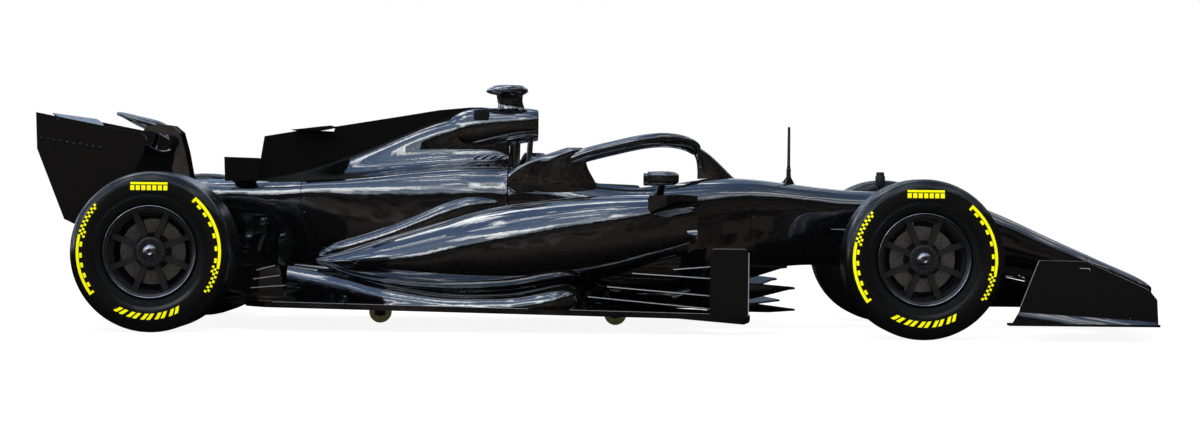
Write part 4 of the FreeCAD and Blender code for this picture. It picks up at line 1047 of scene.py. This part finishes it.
# %% Seat pads
BACK_TOP = Vector((-0.136, 0, 0.552))
BACK_FOOT = Vector((0.062, 0, 0.197))
BASE_FRONT = Vector((0.415, 0, 0.178))
PAD_WIDTH = 0.25
ACROSS = Vector((0, 1, 0))


def sewn_pad(name, a, b, normal, height, channels):
    """A crowned pad on a plane between two lines across the car."""
    pad = Heap()
    top, bottom = [], []
    for u in steps_between(-1, 1, 44):
        row_top, row_bottom = [], []
        for v in steps_between(-1, 1, 28):
            rim = max(0, 1 - abs(u) ** 8) ** 0.5 * max(0, 1 - abs(v) ** 8) ** 0.5
            dip = 1 - 0.38 * max(0, math.cos(math.pi * channels * u)) ** 12
            pull = 1 - 0.03 * u * u
            spot = a.lerp(b, (u + 1) / 2) + ACROSS * v * PAD_WIDTH / 2 * pull
            row_top.append(spot + normal * (height * rim * dip + 0.0004))
            row_bottom.append(spot + normal * 0.0002)
        top.append(row_top)
        bottom.append(row_bottom)
    pad.sheet(top)
    pad.sheet([row[::-1] for row in bottom])
    made = pad.piece(name, FINISHES["pad"], "chassis", "pad", True)


back_normal = Vector((BACK_TOP.z - BACK_FOOT.z, 0, BACK_FOOT.x - BACK_TOP.x)).normalized()
base_normal = Vector((BACK_FOOT.z - BASE_FRONT.z, 0, BASE_FRONT.x - BACK_FOOT.x)).normalized()
sewn_pad("back_pad", BACK_TOP.lerp(BACK_FOOT, 0.06), BACK_TOP.lerp(BACK_FOOT, 0.86), back_normal,
         height=0.022, channels=5)
sewn_pad("base_pad", BACK_FOOT.lerp(BASE_FRONT, 0.12), BACK_FOOT.lerp(BASE_FRONT, 0.96), base_normal,
         height=0.020, channels=4)
print("pads", PAD_WIDTH, "m wide")

# %% [markdown]
# A belt is a flat strap: a thin box section that follows a path over the pads, a little above them.


# %% A strap
def strap(heap, path, across, width, thick=0.0016):
    """A flat strap along a path, with one direction across it."""
    rings = []
    for i, spot in enumerate(path):
        along = (path[min(i + 1, len(path) - 1)] - path[max(i - 1, 0)]).normalized()
        up = along.cross(across).normalized() * thick / 2
        half = across * width / 2
        rings.append([spot - half - up, spot + half - up, spot + half + up, spot - half + up])
    heap.tube(rings)


# %% [markdown]
# Five belts meet at a round buckle: two over the shoulders, two over the lap and one from below.

# %% Belts and buckle
SHOULDER_BELT, LAP_BELT, LOWER_BELT = 0.044, 0.040, 0.034
belts = Heap()
buckle_place = BACK_TOP.lerp(BACK_FOOT, 0.80) + back_normal * 0.031
for side in SIDES:
    over_shoulder = ((-0.030, side * 0.075, 0.0125), (0.004, side * 0.073, 0.0130))
    path = [BACK_TOP + Vector(step) for step in over_shoulder]
    for share in steps_between(0, 1, 7)[1:]:
        spot = BACK_TOP.lerp(BACK_FOOT, 0.05 + 0.70 * share) + back_normal * 0.0265
        path.append(spot + ACROSS * side * (0.070 - 0.052 * share ** 1.5))
    strap(belts, path, ACROSS, SHOULDER_BELT)
    inner, outer = Vector((0.022, side * 0.022, -0.006)), Vector((0.042, side * 0.157, -0.061))
    lap = [buckle_place + inner.lerp(outer, share) for share in steps_between(0, 1, 6)]
    strap(belts, lap, Vector((0.5, 0, 0.85)).normalized(), LAP_BELT)
lower = [buckle_place + Vector((0.02 + 0.012 * i, 0, -0.022 - 0.006 * i)) for i in range(7)]
strap(belts, lower, ACROSS, LOWER_BELT)
belts.piece("belts", webbing, "chassis", "pad")
buckle = Heap()
stud(buckle, buckle_place, back_normal, radius=0.027, height=0.010, sides=28)
release = buckle_place + back_normal * 0.009
stud(buckle, release, back_normal, radius=0.014, height=0.006, sides=24)
buckle.piece("belt_buckle", nut_alloy, "chassis", "aluminium", True)
print("buckle at", [round(v, 3) for v in buckle_place])

# %% [markdown]
# ### Steering wheel face
# A racing steering wheel is a flat plate full of controls: a display, push buttons and turning
# knobs, with a paddle behind each hand. Places on its face are (y, z), and a knob's radius and
# height follow its place.

# %% Display, buttons, knobs and paddles
BUTTONS = ((0.052, 0.600), (0.066, 0.588), (0.070, 0.572), (0.052, 0.530), (0.066, 0.542))
KNOBS = ((0.026, 0.545, 0.0090, 0.0090), (0.050, 0.556, 0.0070, 0.0080))
PADDLE = ((0.040, 0.560), (0.098, 0.578))
DISPLAY_HALF, DISPLAY_LOW, DISPLAY_HIGH = 0.040, 0.568, 0.604
face_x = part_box("handwheel")[0].x + 0.0026
paddle_x = face_x + 0.0269
away = Vector((-1, 0, 0))
display, buttons, knobs, paddles = Heap(), Heap(), Heap(), Heap()
rings = [rounded_ring(face_x - out, DISPLAY_HALF - cut, DISPLAY_LOW + cut, DISPLAY_HIGH - cut,
                      power=6, steps=32) for out, cut in ((0, 0), (0.003, 0.001))]
display.tube(rings)
for side in SIDES:
    for y, z in BUTTONS:
        stud(buttons, Vector((face_x, side * y, z)), away, radius=0.0052, height=0.0045, sides=16)
    for y, z, radius, height in KNOBS:
        stud(knobs, Vector((face_x, side * y, z)), away, radius, height, sides=20)
    bar(paddles, *((paddle_x, side * y, z) for y, z in PADDLE), width=0.0030, height=0.030)
display.piece("wheel_display", dark_glass, "handwheel", "grip", True)
buttons.piece("wheel_buttons", edge, "handwheel", "grip", True)
knobs.piece("wheel_knobs", FINISHES["grip"], "handwheel", "grip", True)
paddles.piece("wheel_paddles", bare_carbon, "handwheel", "grip")
print(2 * len(BUTTONS), "buttons on the steering wheel")

# %% [markdown]
# ## Sky, ground and light
# The car stood under an open sky when it was photographed and was then cut out on white, so its
# lacquer mirrors clouds from above and a dark treeline from the side. An image of a sky could give
# that, but a few nodes can be set to this car's own highlights. Mirrors see a dark rim that stands
# higher behind the camera than behind the car, then haze, then blue sky. The height of a ray picks
# the colour, and noise on that height makes the treetops.

# %% Dark rim, haze and blue sky
TREES_BEHIND_CAMERA = 0.42
TREES_TOWARDS_NOSE = 0.16
RIM_TOP = 0.575
TREETOP_FINENESS, TREETOP_HEIGHT = 4.0, 0.08
SKY_BANDS = (
    (0.0, (0.012, 0.011, 0.010)), (0.30, (0.030, 0.026, 0.024)), (0.40, (0.040, 0.035, 0.031)),
    (0.50, (0.018, 0.016, 0.016)), (RIM_TOP, (0.006, 0.006, 0.007)), (0.595, (0.30, 0.36, 0.44)),
    (0.65, (0.18, 0.24, 0.34)), (0.76, (0.21, 0.29, 0.44)), (0.88, (0.12, 0.19, 0.34)),
    (1.0, (0.09, 0.15, 0.28)),
)
scene.world = bpy.data.worlds.new("cloudy_sky")
scene.world.use_nodes = True
sky = scene.world.node_tree
sky.nodes.clear()


def scaled_sum(first, factor, second):
    """First times factor plus second, as the output of a node."""
    return add_node(sky, "Math", {0: first, 1: factor, 2: second}, operation="MULTIPLY_ADD").outputs["Value"]


def dimmed(colour, share):
    """A colour times a share, as the output of a node."""
    return add_node(sky, "VectorMath", {0: colour, "Scale": share}, operation="SCALE").outputs["Vector"]


way = add_node(sky, "TexCoord").outputs["Generated"]
direction = add_node(sky, "SeparateXYZ", {"Vector": way})
lean = scaled_sum(direction.outputs["Y"], TREES_BEHIND_CAMERA / 4, 0.5 - TREES_BEHIND_CAMERA / 4)
lean = scaled_sum(direction.outputs["X"], -TREES_TOWARDS_NOSE, lean)
lean = scaled_sum(noise_over(sky, way, TREETOP_FINENESS, Detail=5.0), TREETOP_HEIGHT, lean)
height = scaled_sum(direction.outputs["Z"], 0.5, lean)
bands = add_node(sky, "ValToRGB", {"Fac": height})
ramp = bands.color_ramp
for position, _ in SKY_BANDS[1:-1]:
    ramp.elements.new(position)
for stop, (position, colour) in zip(ramp.elements, SKY_BANDS):
    stop.position = position
    stop.color = (*colour, 1)
print(len(ramp.elements), "bands in the sky")

# %% [markdown]
# The dark rim is not one flat tone, because trees and walls stand in it. A fine noise breaks it up,
# and that is what gives the car's flat flanks their mottled look. Above the rim it is turned off.

# %% Mottled rim
TREE_FINENESS = 17.0
leaves = noise_over(sky, way, TREE_FINENESS, Detail=6.0, Roughness=0.6, Distortion=0.6)
mottle = spread(sky, leaves, (0.38, 0.66), (0.25, 2.0))
above_trees = spread(sky, height, (RIM_TOP, 0.61), (0.0, 1.0))
evened = add_node(sky, "Mix", {0: above_trees, 2: mottle, 3: 1.0})
clear_sky = dimmed(bands.outputs["Color"], evened.outputs[0])
print("rim mottled up to", RIM_TOP)

# %% [markdown]
# Clouds are a soft noise that is squeezed flat, cut off at a level so that blue shows between them.
# They are far brighter than the blue, and it is their edges that make lacquer look wet.

# %% Clouds
CLOUD = (2.2, 2.25, 2.25, 1)
CLOUD_EDGE = (0.52, 0.65)
CLOUD_FINENESS, CLOUD_FLATNESS = 2.8, 2.4
flat = add_node(sky, "Mapping", {"Vector": way, "Scale": (1.0, 1.0, CLOUD_FLATNESS)}).outputs["Vector"]
billows = noise_over(sky, flat, CLOUD_FINENESS, Detail=7.0, Roughness=0.58, Distortion=0.5)
puffs = spread(sky, billows, CLOUD_EDGE, (0, 1))
cover = add_node(sky, "Math", {0: puffs, 1: above_trees}, operation="MULTIPLY").outputs["Value"]
cloudy = add_node(sky, "Mix", {0: cover, 6: clear_sky, 7: CLOUD}, data_type="RGBA").outputs[2]
print("clouds of brightness", CLOUD[0])

# %% [markdown]
# In the photograph the sky is brighter towards the car's tail, and its nose stays dark. So the sky
# loses more than half of its light from the tail's side to the nose's side.

# %% Brighter towards the tail
NOSE_SHARE = 0.40
towards_nose = spread(sky, direction.outputs["X"], (-0.12, 0.30), (1.0, NOSE_SHARE))
mirrored_sky = dimmed(cloudy, towards_nose)
print("sky at the nose", NOSE_SHARE, "of that at the tail")

# %% [markdown]
# The kind of ray decides what the world shows: white to the eye and through glass, the sky to a
# mirror, and an even light to everything else.


# %% Which ray sees what
def backdrop(colour, strength):
    """One plain or painted sky, as the output of a node."""
    return add_node(sky, "Background", {"Color": colour, "Strength": strength}).outputs[0]


rays = add_node(sky, "LightPath").outputs
seen = {0: rays["Is Camera Ray"], 1: rays["Is Transmission Ray"]}
seen = add_node(sky, "Math", seen, operation="MAXIMUM").outputs["Value"]
MIRRORED, PLAIN = 1.3, 0.55
plain_light = backdrop((0.96, 0.98, 1.0, 1), PLAIN)
to_mirror = {0: rays["Is Glossy Ray"], 1: plain_light, 2: backdrop(mirrored_sky, MIRRORED)}
to_mirror = add_node(sky, "MixShader", to_mirror).outputs[0]
to_eye = add_node(sky, "MixShader", {0: seen, 1: to_mirror, 2: backdrop((1, 1, 1, 1), 1.0)})
add_node(sky, "OutputWorld", {"Surface": to_eye.outputs[0]})
print(len(sky.nodes), "nodes in the sky")

# %% [markdown]
# The ground is white to the eye, with the car's soft shadow on it, and dark tarmac to the lacquer.
# The share of plain glow makes it as white as the background. The rest takes the shadow. The tarmac
# that the lacquer sees is darkest beside the car, a painted shadow of the car, and gets lighter
# further out.

# %% Ground
GROUND = 60
GLOW, GLOW_SHARE = 1.26, 0.72
TARMAC = (0.034, 0.030, 0.027)
half = GROUND / 2
corners = [(x * half, y * half, CAD_BOX[0].z) for x, y in ((-1, -1), (1, -1), (1, 1), (-1, 1))]
mesh = bpy.data.meshes.new("ground")
mesh.from_pydata(corners, [], [(0, 1, 2, 3)])
ground = bpy.data.objects.new("ground", mesh)
scene.collection.objects.link(ground)
white = finish("ground_white", (0.95, 0.95, 0.95), 0.9)
mesh.materials.append(white)
tree = white.node_tree
lit = tree.nodes["Principled BSDF"]
feed(tree, lit, {"Specular IOR Level": 0.0})
place = add_node(tree, "NewGeometry").outputs["Position"]
reach = add_node(tree, "SeparateXYZ", {"Vector": place}).outputs["Y"]
aside = add_node(tree, "Math", {0: reach}, operation="ABSOLUTE").outputs["Value"]
# Beside the car the mirrored tarmac is darker: a painted shadow of the car.
shade = {0: TARMAC, "Scale": spread(tree, aside, (0.9, 5.0), (0.05, 1.0))}
tone = add_node(tree, "VectorMath", shade, operation="SCALE").outputs["Vector"]
dark = add_node(tree, "Emission", {"Color": tone}).outputs[0]
glow = add_node(tree, "Emission", {"Strength": GLOW}).outputs[0]
rays = add_node(tree, "LightPath").outputs
glowing = add_node(tree, "MixShader", {0: GLOW_SHARE, 1: lit.outputs[0], 2: glow}).outputs[0]
for_eye = {0: rays["Is Camera Ray"], 1: lit.outputs[0], 2: glowing}
for_eye = add_node(tree, "MixShader", for_eye).outputs[0]
for_lacquer = add_node(tree, "MixShader", {0: rays["Is Glossy Ray"], 1: for_eye, 2: dark}).outputs[0]
feed(tree, tree.nodes["Material Output"], {"Surface": for_lacquer})
print("ground", GROUND, "m wide")

# %% [markdown]
# Two broad lamps stand above and on the camera's side. They only model the matt parts, at a plain
# level, and mirrors don't show them: on polished lacquer a lamp would be a hard white box.


# %% Lamps
def soft_lamp(name, place, aim, size, power):
    """A broad rectangular lamp at a place, turned to its aim."""
    light = bpy.data.lights.new(name, "AREA")
    light.shape = "RECTANGLE"
    light.size, light.size_y = size
    light.energy = power
    made = bpy.data.objects.new(name, light)
    scene.collection.objects.link(made)
    made.location = place
    made.rotation_euler = (Vector(aim) - Vector(place)).to_track_quat("-Z", "Y").to_euler()
    made.visible_glossy = False
    print(name, power, "W")


soft_lamp("overhead", (-1.0, -3.0, 6.0), (0, 0, 0.3), (7, 3), 240)
soft_lamp("camera_side", (2.5, -7.0, 2.2), (0.3, 0, 0.4), (5, 1.6), 70)

# %% [markdown]
# ## Camera
# The photograph was taken square on to the side, from about twelve metres and 0.6 m above the
# ground, with the camera rolled by half a degree. Colours are shown as they are, with no film look.

# %% Camera
CAMERA_X = -0.0255
CAMERA_AWAY = 12.0
CAMERA_HEIGHT = 0.62
CAMERA_ROLL = -0.59
PIXELS_TIMES_METRES = 2668
PHOTO_WIDTH = 1200
PIXELS_BELOW = 25.5
lens = bpy.data.cameras.new("side_camera")
camera = bpy.data.objects.new("side_camera", lens)
scene.collection.objects.link(camera)
scene.camera = camera
camera.location = (CAMERA_X, -CAMERA_AWAY, CAMERA_HEIGHT)
camera.rotation_euler = (math.radians(90), math.radians(CAMERA_ROLL), 0)
lens.sensor_width = 36
lens.lens = PIXELS_TIMES_METRES / PHOTO_WIDTH * lens.sensor_width
lens.shift_y = -PIXELS_BELOW / PHOTO_WIDTH
lens.dof.use_dof = False
scene.view_settings.view_transform = "Standard"
print("camera lens", round(lens.lens, 1), "mm")
